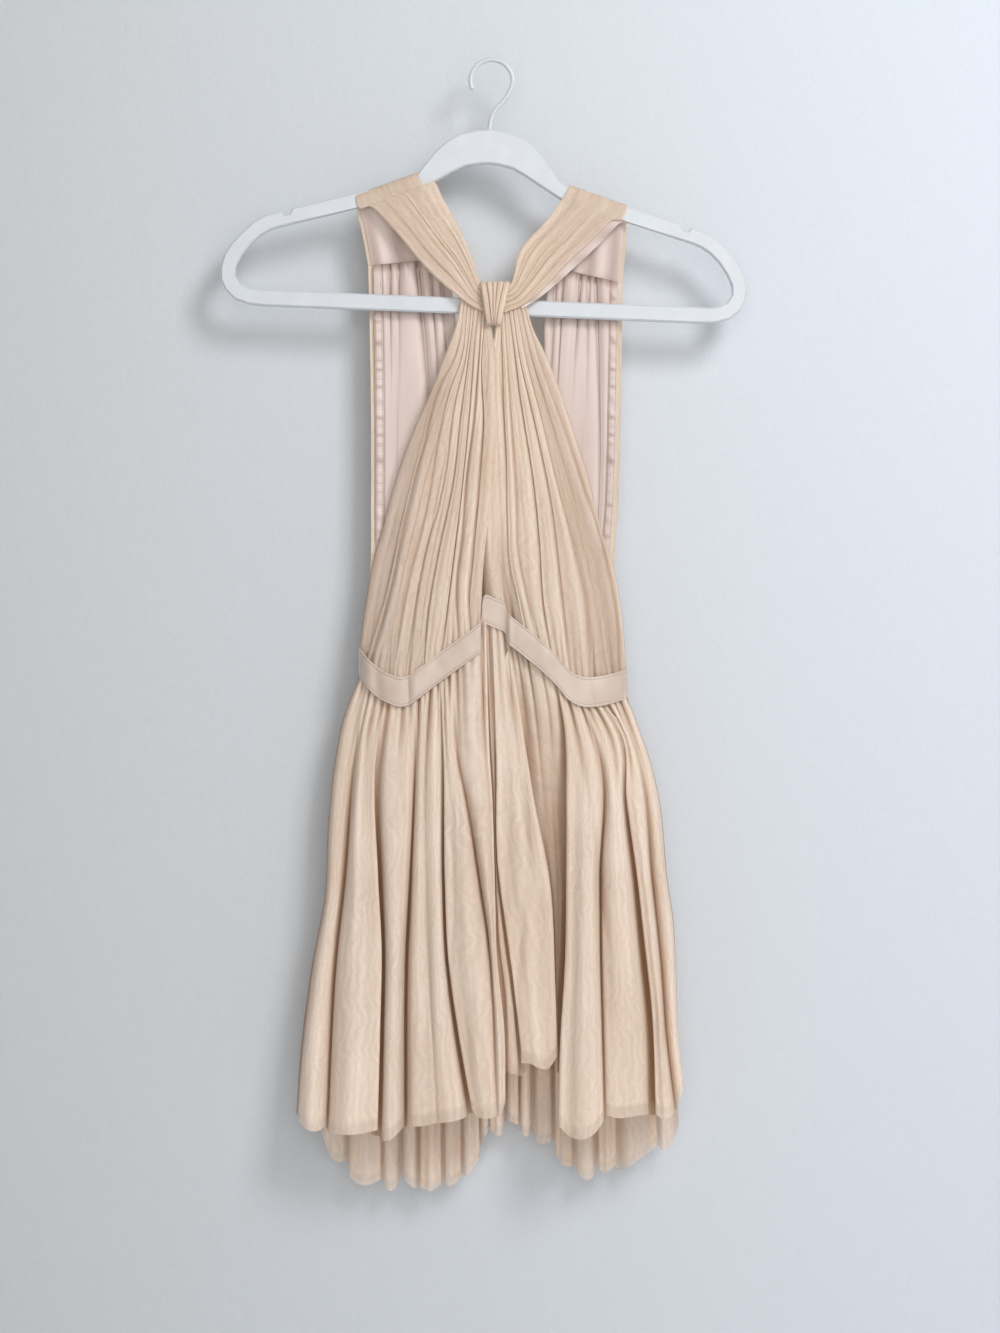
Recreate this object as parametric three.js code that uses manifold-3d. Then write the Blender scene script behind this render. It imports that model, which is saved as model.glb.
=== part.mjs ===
// A sleeveless tulle mini dress hanging on a slim moulded hanger.
// Lengths are millimetres. X runs to the right of someone who faces the front of the dress,
// Y runs away from them towards the wall, and Z runs up.
// The origin is under the crown of the hook, where the rail carries the hanger.
import * as THREE from "three";
import Module from "manifold-3d";

// Driving dimensions of the cloth.
const CLOTH = 1.2; // wall that stands for doubled tulle, or for satin
const SEAM_GAP = 0.3; // space left between two sewn pieces
const SEAM_DROP = 0.75; // the same straight down, so that a sloping seam keeps its gap
const LAYER_STEP = CLOTH + SEAM_GAP; // from one cloth to the one that lies on it
const RIBBON_HEIGHT = 24; // satin ribbon at the waist, measured down the body
const FACING_WIDTH = 10; // strip that finishes an armhole

// Driving dimensions of the hanger, drawn upright and then tilted about the hook.
const HANGER = {
  tilt: THREE.MathUtils.degToRad(2.3), // the right arm hangs a little lower
  thickness: 7,
  edge: 1.3, // bevel round every edge
  armX: 62, // where an arm leaves the neck
  armZ: -102,
  armSlope: 0.288,
  armHeight: 13,
  barTop: -201.5,
  barBottom: -215,
  notchFrom: 164.5,
  notchTo: 174.5,
  notchDepth: 4,
};
const HOOK = { wire: 2, radius: 18, bore: 2.36, stemEnd: -74.7, socketEnd: -75 };

const TULLE = { color: 0xd9bfa2, roughness: 0.85 };
const SATIN = { color: 0xddc6ba, roughness: 0.4 };
const RIBBON = { color: 0xdcc3ae, roughness: 0.35 };
const PLASTIC = { color: 0xe9ebec, roughness: 0.45 };

const { lerp, smoothstep } = THREE.MathUtils;
const TURN = 2 * Math.PI;
const dress = new THREE.Group();
dress.name = "tulle_mini_dress_on_hanger";

function addPiece(name, finish, geometry) {
  const mesh = new THREE.Mesh(geometry, new THREE.MeshStandardMaterial({ ...finish, metalness: 0 }));
  mesh.name = name;
  dress.add(mesh);
}

// Rows of numbers become objects with the named columns.
function table(names, rows) {
  return rows.map((row) => Object.fromEntries(names.map((name, k) => [name, row[k]])));
}

// A smooth curve through the rows of a table, read in the three columns named.
function curveOf(rows, x, y, z) {
  const points = rows.map((row) => new THREE.Vector3(row[x], row[y], row[z]));
  return new THREE.CatmullRomCurve3(points, false, "centripetal");
}

// The value of one column where another column, which only falls or only rises, has a given value.
function readOff(rows, along, value, column) {
  const falls = rows[0][along] > rows[rows.length - 1][along] ? -1 : 1;
  const last = rows.length - 1;
  let k = 0;
  while (k < last - 1 && falls * rows[k + 1][along] < falls * value) k += 1;
  const share = (value - rows[k][along]) / (rows[k + 1][along] - rows[k][along]);
  return lerp(rows[k][column], rows[k + 1][column], THREE.MathUtils.clamp(share, 0, 1));
}

// A grid of points from a function of the share across and the share down.
function gridOf(columns, shares, pointAt) {
  return shares.map((down) =>
    Array.from({ length: columns + 1 }, (_, j) => pointAt(j / columns, down)),
  );
}

const evenShares = (count) => Array.from({ length: count + 1 }, (_, k) => k / count);

// The normals of a grid of points, from the neighbours of each point.
// In a row that is sewn to the ribbon they are level, as the ribbon's are.
function gridNormals(grid, ring, sewnRow) {
  const columns = grid[0].length;
  const column = (j) => (ring ? (j + columns) % columns : Math.min(columns - 1, Math.max(0, j)));
  const line = (i) => grid[Math.min(grid.length - 1, Math.max(0, i))];
  return grid.map((points, i) =>
    points.map((_, j) => {
      const across = points[column(j + 1)].clone().sub(points[column(j - 1)]);
      const down = line(i + 1)[j].clone().sub(line(i - 1)[j]);
      return across.cross(i === sewnRow ? new THREE.Vector3(0, 0, -1) : down).normalize();
    }),
  );
}

// The same grid moved along its normals, by a distance that may change over the grid.
function moved(grid, distanceAt, sewnRow = -1) {
  const normals = gridNormals(grid, false, sewnRow);
  const across = grid[0].length - 1;
  const down = grid.length - 1;
  return grid.map((points, i) =>
    points.map((p, j) => p.clone().addScaledVector(normals[i][j], distanceAt(j / across, i / down))),
  );
}

// Six times the volume inside the faces, negative where they point inwards.
function signedVolume(positions, faces) {
  const corner = (k) => new THREE.Vector3().fromArray(positions, 3 * faces[k]);
  let sum = 0;
  for (let k = 0; k < faces.length; k += 3) {
    sum += corner(k).dot(corner(k + 1).cross(corner(k + 2)));
  }
  return sum;
}

// A cloth wall: a grid of points on its middle surface, thickened by half each way.
// A ring closes round its columns, and any other wall has four edges.
function clothWall(name, finish, grid, { ring = false, sewnRow = -1 } = {}) {
  const rows = grid.length;
  const columns = grid[0].length;
  const normals = gridNormals(grid, ring, sewnRow);
  const positions = [];
  for (const side of [CLOTH / 2, -CLOTH / 2]) {
    grid.forEach((points, i) =>
      points.forEach((p, j) => {
        positions.push(...p.clone().addScaledVector(normals[i][j], side).toArray());
      }),
    );
  }
  const faces = [];
  const quad = (a, b, c, d) => faces.push(a, b, c, a, c, d);
  const near = (i, j) => i * columns + (j % columns);
  const far = (i, j) => rows * columns + near(i, j);
  const spans = ring ? columns : columns - 1;
  const last = rows - 1;
  for (let j = 0; j < spans; j += 1) {
    for (let i = 0; i < last; i += 1) {
      quad(near(i, j), near(i, j + 1), near(i + 1, j + 1), near(i + 1, j));
      quad(far(i, j), far(i + 1, j), far(i + 1, j + 1), far(i, j + 1));
    }
    quad(near(0, j), far(0, j), far(0, j + 1), near(0, j + 1));
    quad(near(last, j), near(last, j + 1), far(last, j + 1), far(last, j));
  }
  for (let i = 0; i < last && !ring; i += 1) {
    quad(near(i, 0), near(i + 1, 0), far(i + 1, 0), far(i, 0));
    quad(near(i + 1, spans), near(i, spans), far(i, spans), far(i + 1, spans));
  }
  const geometry = new THREE.BufferGeometry();
  geometry.setAttribute("position", new THREE.Float32BufferAttribute(positions, 3));
  geometry.setIndex(signedVolume(positions, faces) < 0 ? faces.reverse() : faces);
  addPiece(name, finish, geometry);
}

// A fold's depth that suits the width it has, so that a wall never meets itself.
function foldDepth(pitch) {
  return pitch * lerp(0.1, 0.21, smoothstep(pitch, 2.5, 9));
}

// The hanger's moulded loop: a straight bar, two sloping arms with a notch each, and an arched neck.
function armTop(x) {
  return HANGER.armZ - (Math.abs(x) - HANGER.armX) * HANGER.armSlope;
}

function spline(points, steps) {
  return new THREE.SplineCurve(points.map(([x, z]) => new THREE.Vector2(x, z))).getPoints(steps);
}

// One half of an outline, from the middle of the bar to the middle of the neck, and its mirror image.
function mirroredOutline(half) {
  const left = half.slice(1, -1).map((p) => new THREE.Vector2(-p.x, p.y));
  return [...half, ...left.reverse()];
}

function hangerOutside() {
  const H = HANGER;
  const outerEnd = spline([[186, H.barBottom], [206, -212.6], [219.5, -202], [223.8, -187], [219.5, -170],
    [208, -155], [193, -141], [180, armTop(180)]], 11);
  const notch = [[H.notchTo, 0], [H.notchTo - 2.5, H.notchDepth], [H.notchFrom + 2.5, H.notchDepth],
    [H.notchFrom, 0]].map(([x, depth]) => new THREE.Vector2(x, armTop(x) - depth));
  const neck = spline([[60, -98.8], [54.7, -91], [41, -73.6], [23, -61.8], [0, -57.8]], 7);
  const arm = [new THREE.Vector2(H.armX + 4, armTop(H.armX + 4))];
  return mirroredOutline([new THREE.Vector2(0, H.barBottom), ...outerEnd, ...notch, ...arm, ...neck]);
}

function hangerInside() {
  const H = HANGER;
  const armBottom = (x) => new THREE.Vector2(x, armTop(x) - H.armHeight);
  const innerEnd = spline([[192, H.barTop], [204, -199.3], [211.2, -190], [209, -178], [199, -163],
    [187, -152.5], [176, armTop(176) - H.armHeight]], 9);
  const neck = spline([[64, armTop(64) - H.armHeight], [42, -102.4], [20, -89.8], [0, -86.8]], 6);
  return mirroredOutline([new THREE.Vector2(0, H.barTop), ...innerEnd, armBottom(120), ...neck]);
}

function hangerLoop() {
  const H = HANGER;
  const shape = new THREE.Shape(hangerOutside());
  shape.holes.push(new THREE.Path(hangerInside()));
  const geometry = new THREE.ExtrudeGeometry(shape, {
    depth: H.thickness - 2 * H.edge,
    bevelThickness: H.edge,
    bevelSize: H.edge,
    bevelOffset: -H.edge,
    bevelSegments: 1,
  });
  return geometry.translate(0, 0, H.edge - H.thickness / 2).rotateX(Math.PI / 2);
}

// The wire hook stands in a blind socket in the crown of the neck.
function hookWire() {
  const R = HOOK.radius;
  const centre = HOOK.wire - R;
  const stem = table(["x", "z"], [[0, HOOK.stemEnd], [0, -62], [0.5, -50], [4, -40.5], [10.5, -33]]);
  const crown = [-35, 0, 30, 60, 90, 120, 150, 180, 205].map((degrees) => {
    const angle = THREE.MathUtils.degToRad(degrees);
    return { x: R * Math.cos(angle), z: centre + R * Math.sin(angle) };
  });
  const points = [...stem, ...crown].map(({ x, z }) => new THREE.Vector3(x, 0, z));
  const circle = new THREE.Shape().absarc(0, 0, HOOK.wire, 0, TURN);
  return new THREE.ExtrudeGeometry(circle, {
    extrudePath: new THREE.CatmullRomCurve3(points, false, "centripetal"),
    steps: 34,
    curveSegments: 5,
    bevelEnabled: false,
  });
}

const wasm = await Module();
wasm.setup();

function solidOf(geometry) {
  const positions = geometry.getAttribute("position");
  const seen = new Map();
  const vertices = [];
  const triangles = [];
  for (let k = 0; k < positions.count; k += 1) {
    const corner = new THREE.Vector3().fromBufferAttribute(positions, k).toArray();
    const key = corner.map((v) => Math.round(v * 1e4)).join();
    if (!seen.has(key)) {
      seen.set(key, seen.size);
      vertices.push(...corner);
    }
    triangles.push(seen.get(key));
  }
  const mesh = { numProp: 3, vertProperties: new Float32Array(vertices), triVerts: new Uint32Array(triangles) };
  return new wasm.Manifold(new wasm.Mesh(mesh));
}

function geometryOf(solid) {
  const mesh = solid.getMesh();
  const geometry = new THREE.BufferGeometry();
  geometry.setAttribute("position", new THREE.Float32BufferAttribute(mesh.vertProperties, 3));
  geometry.setIndex(Array.from(mesh.triVerts));
  return geometry;
}

const socketLength = 30;
const socket = new THREE.CylinderGeometry(HOOK.bore, HOOK.bore, socketLength, 16)
  .rotateX(Math.PI / 2)
  .translate(0, 0, HOOK.socketEnd + socketLength / 2)
  .toNonIndexed();
const loop = solidOf(hangerLoop()).subtract(solidOf(socket));
addPiece("hanger_body", PLASTIC, geometryOf(loop).rotateY(HANGER.tilt));
addPiece("hanger_hook", PLASTIC, geometryOf(solidOf(hookWire())).rotateY(HANGER.tilt));

// Height of the hanger's upper edge above a given X of the part.
function hangerTop(x) {
  const upright = x + 105 * Math.sin(HANGER.tilt);
  const foot = HANGER.armX - Math.abs(upright);
  const z = foot > 0 ? HANGER.armZ + foot * 1.27 : armTop(upright);
  return z * Math.cos(HANGER.tilt) - upright * Math.sin(HANGER.tilt);
}

// The waist, the skirt's front and its folds, from the left side seam to the right one.
// Each row is one ridge or valley: where it leaves the ribbon (waist, with the height of the
// ribbon's upper edge), where it runs half way down (mid), and where it ends (hem).
const FOLDS = table(
  ["waistX", "waistY", "waistZ", "midX", "midY", "hemX", "hemY", "hemZ"],
  [
    [-113, -0.4, -499, -133, 4, -148, 6, -900], // left side seam
    [-111, -9, -501, -142, -6, -168, -6, -901],
    [-105, -16, -508, -135, -20, -155, -26, -908],
    [-97, -18, -515, -124, -12, -139, -14, -905],
    [-88, -21, -520, -114, -27, -124, -36, -910],
    [-79, -22, -523, -107, -27, -105, -38, -908],
    [-71, -22, -522, -100, -15, -96, -18, -907],
    [-62, -24, -516, -86, -30, -84, -42, -915],
    [-54, -24, -510, -67, -14, -71, -16, -908],
    [-45, -25, -503, -54, -29, -59, -38, -905],
    [-36, -26, -496, -45, -28, -36, -41, -897],
    [-27, -26, -490, -38, -15, -22, -20, -897],
    [-18, -26, -483, -25, -34, -13, -42, -899],
    [-11, -25, -478, -6, -35, 5, -42, -888],
    [-8.5, -18, -471, 3, -21, 9, -22, -872], // inverted pleat at centre front
    [-3, -13, -464, 15, -18, 18, -20, -854],
    [7, -13, -464, 34, -20, 46, -26, -853],
    [13, -17, -469, 50, -10, 56, -10, -864],
    [18, -23, -474, 63, -22, 62, -32, -912],
    [28, -26, -482, 79, -32, 84, -43, -913],
    [40, -26, -492, 93, -16, 95, -19, -902],
    [52, -25, -503, 102, -30, 106, -37, -896],
    [64, -24, -517, 113, -30, 124, -39, -896],
    [76, -22, -523, 121, -15, 134, -16, -892],
    [88, -20, -523, 132, -24, 146, -32, -895],
    [99, -17, -521, 141, -13, 156, -18, -882],
    [109, -11, -518, 148, -9, 164, -15, -870],
    [114, -0.4, -517, 144, 4, 158, 6, -878], // right side seam
  ],
);
const CENTRE_FRONT = 15 / 27; // share of the front at the seam between the two front panels
const CENTRE_GAP = 0.0025; // share of the front left open on each side of that seam

// The back of the waist, from the left side seam to the right one.
const WAIST_BACK = table(
  ["x", "y", "z"],
  [
    [-113, 0.4, -499],
    [-107, 9, -501],
    [-84, 14, -505],
    [-45, 16, -508],
    [0, 17, -509],
    [45, 16, -511],
    [84, 14, -514],
    [108, 9, -516],
    [114, 0.55, -517],
  ],
);

const waistFront = curveOf(FOLDS, "waistX", "waistY", "waistZ");
const waistBack = curveOf(WAIST_BACK, "x", "y", "z");
const midFront = curveOf(FOLDS, "midX", "midY", "hemZ");
const hemFront = curveOf(FOLDS, "hemX", "hemY", "hemZ");

const FRONT_COLUMNS = 81;
const LEFT_COLUMNS = FRONT_COLUMNS * CENTRE_FRONT;
const RIGHT_COLUMNS = FRONT_COLUMNS - LEFT_COLUMNS;
const BACK_COLUMNS = 24;

const lowered = (p, drop) => new THREE.Vector3(p.x, p.y, p.z - drop);

// The ribbon goes right round, so its back runs on from the right side seam to the left one.
function ribbon() {
  const line = (drop) => [
    ...evenShares(FRONT_COLUMNS).map((u) => lowered(waistFront.getPoint(u), drop)),
    ...evenShares(BACK_COLUMNS).slice(1, -1).map((u) => lowered(waistBack.getPoint(1 - u), drop)),
  ];
  return [line(0), line(RIBBON_HEIGHT)];
}
clothWall("waist_band", RIBBON, ribbon(), { ring: true });

// Shares of the way down a skirt at which its rows lie: close at the gathers, wide below.
const SKIRT_ROWS = [0, 0.03, 0.08, 0.16, 0.28, 0.42, 0.6, 0.8, 1];
const MID_SHARE = 0.42;

// A point of a skirt between its three levels. The cloth springs out below the ribbon.
function skirtPoint(top, middle, hem, down) {
  const upper = Math.min(1, down / MID_SHARE);
  const lower = Math.max(0, (down - MID_SHARE) / (1 - MID_SHARE));
  const spread = 1 - (1 - upper) ** 2;
  const point = top.clone().lerp(middle, spread).lerp(hem, lower);
  point.z = lerp(top.z, hem.z, down);
  return point;
}

// Gathers start just under the ribbon and run out above the middle of the skirt.
function gather(count, across, down) {
  const height = (0.35 + 0.65 * smoothstep(down, 0, 0.05)) * (1 - smoothstep(down, 0.06, 0.42));
  const size = 2.1 + 0.7 * Math.sin(TURN * 5.3 * across);
  return size * height * Math.sin(TURN * count * across);
}

const FRONT_GATHERS = 24;
const frontSkirt = gridOf(FRONT_COLUMNS, SKIRT_ROWS, (u, v) => {
  const top = lowered(waistFront.getPoint(u), RIBBON_HEIGHT + SEAM_DROP);
  const point = skirtPoint(top, midFront.getPoint(u), hemFront.getPoint(u), v);
  const inset = smoothstep(u, 0, 0.04) * (1 - smoothstep(u, 0.96, 1));
  const inPleat = smoothstep(u, 0.49, 0.53) * (1 - smoothstep(u, 0.66, 0.7));
  point.y += inset * (1 - 0.7 * inPleat) * gather(FRONT_GATHERS, u, v);
  return point;
});
clothWall("skirt_front", TULLE, frontSkirt, { sewnRow: 0 });

// The hem folds of the skirt's back, which hangs lower than its front.
const BACK_FOLDS = table(
  ["hemX", "hemZ"],
  [
    [-127, -936],
    [-109, -954],
    [-89, -960],
    [-71, -961],
    [-53, -960],
    [-35, -956],
    [-18, -946],
    [-4, -918],
    [16, -905],
    [38, -921],
    [60, -934],
    [79, -954],
    [98, -944],
    [119, -942],
    [143, -926],
  ],
);
const BACK_RIDGE = 30; // how far the back's ridges and valleys stand from the middle of the dress
const BACK_VALLEY = 14;

// The ridges and valleys of the back as rows: the middle level is drawn in from the hem.
function backRows() {
  const rows = [{ midX: -133, midY: 4.9, hemX: -148, hemY: 6.9, hemZ: -901 }];
  BACK_FOLDS.forEach(({ hemX, hemZ }, k) => {
    const after = BACK_FOLDS[k + 1];
    rows.push({ midX: 0.88 * hemX, midY: 0.84 * BACK_RIDGE, hemX, hemY: BACK_RIDGE, hemZ });
    if (after) {
      const x = (hemX + after.hemX) / 2;
      const z = (hemZ + after.hemZ) / 2 + 3;
      rows.push({ midX: 0.88 * x, midY: 1.05 * BACK_VALLEY, hemX: x, hemY: BACK_VALLEY, hemZ: z });
    }
  });
  rows.push({ midX: 144, midY: 4.9, hemX: 158, hemY: 6.9, hemZ: -880 });
  return rows;
}
const midBack = curveOf(backRows(), "midX", "midY", "hemZ");
const hemBack = curveOf(backRows(), "hemX", "hemY", "hemZ");

const BACK_GATHERS = 20;
const backSkirt = gridOf(60, SKIRT_ROWS, (u, v) => {
  const top = lowered(waistBack.getPoint(u), RIBBON_HEIGHT + SEAM_DROP);
  const point = skirtPoint(top, midBack.getPoint(u), hemBack.getPoint(u), v);
  const inset = smoothstep(u, 0, 0.05) * (1 - smoothstep(u, 0.95, 1));
  point.y += inset * gather(BACK_GATHERS, u, v);
  return point;
});
clothWall("skirt_back", TULLE, backSkirt, { sewnRow: 0 });

// The front panels fan out from the knot. For each side: the gathered end at the knot, from the
// armhole inwards, and the armhole edge down to the ribbon.
const KNOT_END = {
  left: table(["x", "z"], [[-26, -206], [-14.5, -218], [-3, -229]]),
  right: table(["x", "z"], [[27, -207], [15, -219], [3.2, -229.5]]),
};
const ARMHOLE_EDGE = {
  left: table(["x", "z"], [[-26, -206], [-45, -256], [-69, -321], [-83, -364], [-95, -400], [-103, -428],
    [-110, -467], [-112.6, -489], [-113, -499]]),
  right: table(["x", "z"], [[27, -207], [44, -248], [62, -299], [75, -346], [87, -389], [99, -424],
    [108, -470], [112.5, -500], [114, -517]]),
};
const CENTRE_EDGE = {
  left: table(["x", "z"], [[-3, -229], [-3.4, -242], [-3.4, -464]]),
  right: table(["x", "z"], [[3.2, -229.5], [-2.4, -244], [-2.6, -464]]),
};
const KNOT_Y = -10.2; // how far forward the panels lie at the knot
const BODICE_ROWS = [0, 0.06, 0.15, 0.28, 0.43, 0.59, 0.74, 0.88, 1];

function bodiceFront(side, columns, folds, waistShare) {
  const knot = curveOf(KNOT_END[side].map((row) => ({ ...row, y: KNOT_Y })), "x", "y", "z");
  const edgeX = (z) => readOff(ARMHOLE_EDGE[side], "z", z, "x");
  const centreX = (z) => readOff(CENTRE_EDGE[side], "z", z, "x");
  return gridOf(columns, BODICE_ROWS, (u, v) => {
    const start = knot.getPointAt(u);
    const end = lowered(waistFront.getPoint(waistShare(u)), -SEAM_DROP);
    const z = lerp(start.z, end.z, v);
    const shareAt = (x, level) => (x - edgeX(level)) / (centreX(level) - edgeX(level));
    const share = lerp(shareAt(start.x, start.z), shareAt(end.x, end.z), v ** 0.8);
    const x = lerp(start.x, lerp(edgeX(z), centreX(z), share), smoothstep(v, 0, 0.12));
    const y = lerp(start.y, end.y, v * v * (3 - 2 * v));
    const pitch = Math.abs(edgeX(z) - centreX(z)) / folds;
    const inset = smoothstep(u, 0, 0.05) * (1 - smoothstep(u, 0.9, 1));
    const height = inset * (1 - smoothstep(v, 0.7, 1) * 0.6) * foldDepth(pitch);
    return new THREE.Vector3(x, y + height * Math.sin(TURN * folds * u), z);
  });
}
const sewnBelow = { sewnRow: BODICE_ROWS.length - 1 };
const leftWaist = (u) => Math.min(CENTRE_FRONT * u, CENTRE_FRONT - CENTRE_GAP);
const rightWaist = (u) => Math.max(lerp(1, CENTRE_FRONT, u), CENTRE_FRONT + CENTRE_GAP);
const leftPanel = bodiceFront("left", LEFT_COLUMNS, 10, leftWaist);
const rightPanel = bodiceFront("right", RIGHT_COLUMNS, 9, rightWaist);
clothWall("bodice_front_left", TULLE, leftPanel, sewnBelow);
clothWall("bodice_front_right", TULLE, rightPanel, sewnBelow);

// A strap, from the back shoulder seam over the hanger's arm to the inside of the knot loop.
// Rows that lie on the arm are heights over its upper edge, so they follow the arm.
const STRAP_COLUMNS = ["outerX", "outerZ", "innerX", "innerZ", "y", "onArm"];
const STRAPS = {
  left: table(STRAP_COLUMNS, [
    [-106, -172, -39, -166, 8.9, 0],
    [-112, -140, -45, -132, 7.2, 0],
    [-115.5, -7, -62, -7, 5.4, 1],
    [-116, -0.4, -64, -0.2, 4.9, 1],
    [-116, 2, -65, 2.2, 2.7, 1],
    [-116, 2, -65, 2.2, -2.7, 1],
    [-115.5, -0.4, -64, -0.2, -4.9, 1],
    [-114, -7, -60, -4, -5.4, 1],
    [-103, -124, -49, -103, -6, 0],
    [-84, -143, -42, -117, -7, 0],
    [-58, -177, -34, -133, -9, 0],
    [-39, -193, -27, -148, -11.2, 0],
    [-29, -202, -20.5, -171, -13, 0],
    [-20, -208.5, -14.5, -187.5, -13.5, 0],
    [-7.5, -214.5, -5, -195, -13.5, 0],
  ]),
  right: table(STRAP_COLUMNS, [
    [111, -187, 49, -173, 8.9, 0],
    [113.5, -155, 53, -140, 7.2, 0],
    [114, -7, 65, -7, 5.4, 1],
    [114, -0.6, 65, -0.6, 4.7, 1],
    [114, 1.8, 65, 1.8, 2.6, 1],
    [114, 1.8, 65, 1.8, -2.6, 1],
    [113.5, -0.6, 64, -0.6, -4.7, 1],
    [111, -7, 62, -7, -5.4, 1],
    [101, -136, 54, -125, -6, 0],
    [84, -153, 42, -140, -7, 0],
    [66, -170, 28, -155, -9, 0],
    [52, -185, 21, -168, -11.2, 0],
    [37, -200, 19, -179, -13, 0],
    [24, -209.5, 16.5, -188.5, -13.5, 0],
    [10, -215, 8, -195, -13.5, 0],
  ]),
};
const STRAP_FOLDS = 7;
const STRAP_SAMPLES = 21;

function strapLine(row, w) {
  const x = lerp(row.outerX, row.innerX, w);
  const z = lerp(row.outerZ, row.innerZ, w);
  return new THREE.Vector3(x, row.y, row.onArm ? hangerTop(x) + z : z);
}

// The folds stand only outwards on the arm, so that the cloth rests on it.
function strapGrid(side) {
  const rows = STRAPS[side];
  const flat = rows.map((row) => evenShares(STRAP_SAMPLES).map((w) => strapLine(row, w)));
  const outwards = side === "left" ? -1 : 1;
  return moved(flat, (w, t) => {
    const row = rows[Math.round(t * (rows.length - 1))];
    const span = Math.hypot(row.outerX - row.innerX, row.onArm ? 0 : row.outerZ - row.innerZ);
    const inset = smoothstep(w, 0, 0.08) * (1 - smoothstep(w, 0.92, 1));
    const wave = Math.sin(TURN * STRAP_FOLDS * w);
    const height = foldDepth(span / STRAP_FOLDS) * inset;
    return outwards * height * (row.onArm ? 0.5 * (1 + wave) : wave);
  });
}
const strapGrids = { left: strapGrid("left"), right: strapGrid("right") };
clothWall("strap_left", TULLE, strapGrids.left);
clothWall("strap_right", TULLE, strapGrids.right);

// The loop wrapped round the knot, wider above than below, with pleats that run round it.
const LOOP = {
  top: -187.9, bottom: -224.4, y: -13.5, depth: 14,
  upper: { x: 2, half: 12.7 },
  lower: { x: 1, half: 6.6 },
  pleats: 5,
};

function knotLoop() {
  const halfHeight = (LOOP.top - LOOP.bottom - CLOTH) / 2;
  const halfDepth = (LOOP.depth - CLOTH) / 2;
  const middle = (LOOP.top + LOOP.bottom) / 2;
  const rounded = (value) => Math.sign(value) * Math.abs(value) ** 0.62;
  const across = evenShares(2 * LOOP.pleats);
  return across.map((s, row) =>
    Array.from({ length: 18 }, (_, k) => {
      const angle = (TURN * k) / 18;
      const crest = (row % 2 ? 0.45 : -0.15) + 0.15;
      const z = middle + (halfHeight - 0.45 + crest) * rounded(Math.sin(angle));
      const y = LOOP.y + (halfDepth - 0.45 + crest) * rounded(Math.cos(angle));
      const low = THREE.MathUtils.clamp((LOOP.top - z) / (LOOP.top - LOOP.bottom), 0, 1);
      const centre = lerp(LOOP.upper.x, LOOP.lower.x, low);
      const half = lerp(LOOP.upper.half, LOOP.lower.half, low);
      return new THREE.Vector3(centre + half * (2 * s - 1), y, z);
    }),
  );
}
clothWall("knot_loop", TULLE, knotLoop(), { ring: true });

// The back panels hang from the shoulder seams and leave the middle of the back open.
// Each edge is read off by height. The lining lies inside the tulle and stops short of its edge.
const BACK_EDGES = {
  left: {
    top: { outer: -172.6, inner: -166.6 },
    outer: table(["x", "y", "z"], [[-106, 9, -172], [-104, 9, -270], [-103.5, 6, -380], [-104, 3.6, -430],
      [-109, 1.8, -470], [-113, 0.4, -499]]),
    inner: table(["x", "y", "z"], [[-39, 9, -166], [-32, 10, -213], [-30, 11.5, -290], [-14, 14, -420],
      [-3, 16.9, -508]]),
  },
  right: {
    top: { outer: -187.6, inner: -173.6 },
    outer: table(["x", "y", "z"], [[111, 9, -187], [110, 9, -270], [107, 6, -380], [104, 3.6, -425],
      [109, 1.8, -480], [114, 0.4, -517]]),
    inner: table(["x", "y", "z"], [[49, 9, -173], [45, 10, -213], [44, 11.5, -290], [18, 14, -420],
      [3, 16.9, -508]]),
  },
};

// The first columns keep set distances from the armhole, for the edges of lining and facing.
const LINING_INSET = 4.5;
const NARROW_COLUMNS = [0, LINING_INSET, LINING_INSET + FACING_WIDTH / 2, LINING_INSET + FACING_WIDTH];
const WIDE_COLUMNS = 5;
const BODICE_BACK_COLUMNS = NARROW_COLUMNS.length - 1 + WIDE_COLUMNS;
const BODICE_BACK_ROWS = 9;

function acrossBack(column, width) {
  const wide = column - NARROW_COLUMNS.length + 1;
  if (wide <= 0) return NARROW_COLUMNS[column] / width;
  return lerp(NARROW_COLUMNS[NARROW_COLUMNS.length - 1] / width, 1, wide / WIDE_COLUMNS);
}

function bodiceBack(side) {
  const { top, outer, inner } = BACK_EDGES[side];
  return gridOf(BODICE_BACK_COLUMNS, evenShares(BODICE_BACK_ROWS), (s, v) => {
    const level = lerp((top.outer + top.inner) / 2, -508, v);
    const width = Math.abs(readOff(outer, "z", level, "x") - readOff(inner, "z", level, "x"));
    const u = acrossBack(Math.round(s * BODICE_BACK_COLUMNS), width);
    const end = lowered(waistBack.getPoint(side === "left" ? 0.487 * u : 1 - 0.487 * u), -SEAM_DROP);
    const z = lerp(lerp(top.outer, top.inner, u), end.z, v);
    const x = lerp(readOff(outer, "z", z, "x"), readOff(inner, "z", z, "x"), u);
    const y = lerp(readOff(outer, "z", z, "y"), readOff(inner, "z", z, "y"), u);
    const fullness = 2.2 * Math.sin(Math.PI * Math.min(1, 1.25 * u)) * Math.sin(Math.PI * v);
    const hung = new THREE.Vector3(x, y + fullness, z);
    return hung.lerp(end, smoothstep(v, 0.72, 1));
  });
}
const sewnBack = { sewnRow: BODICE_BACK_ROWS };

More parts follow.
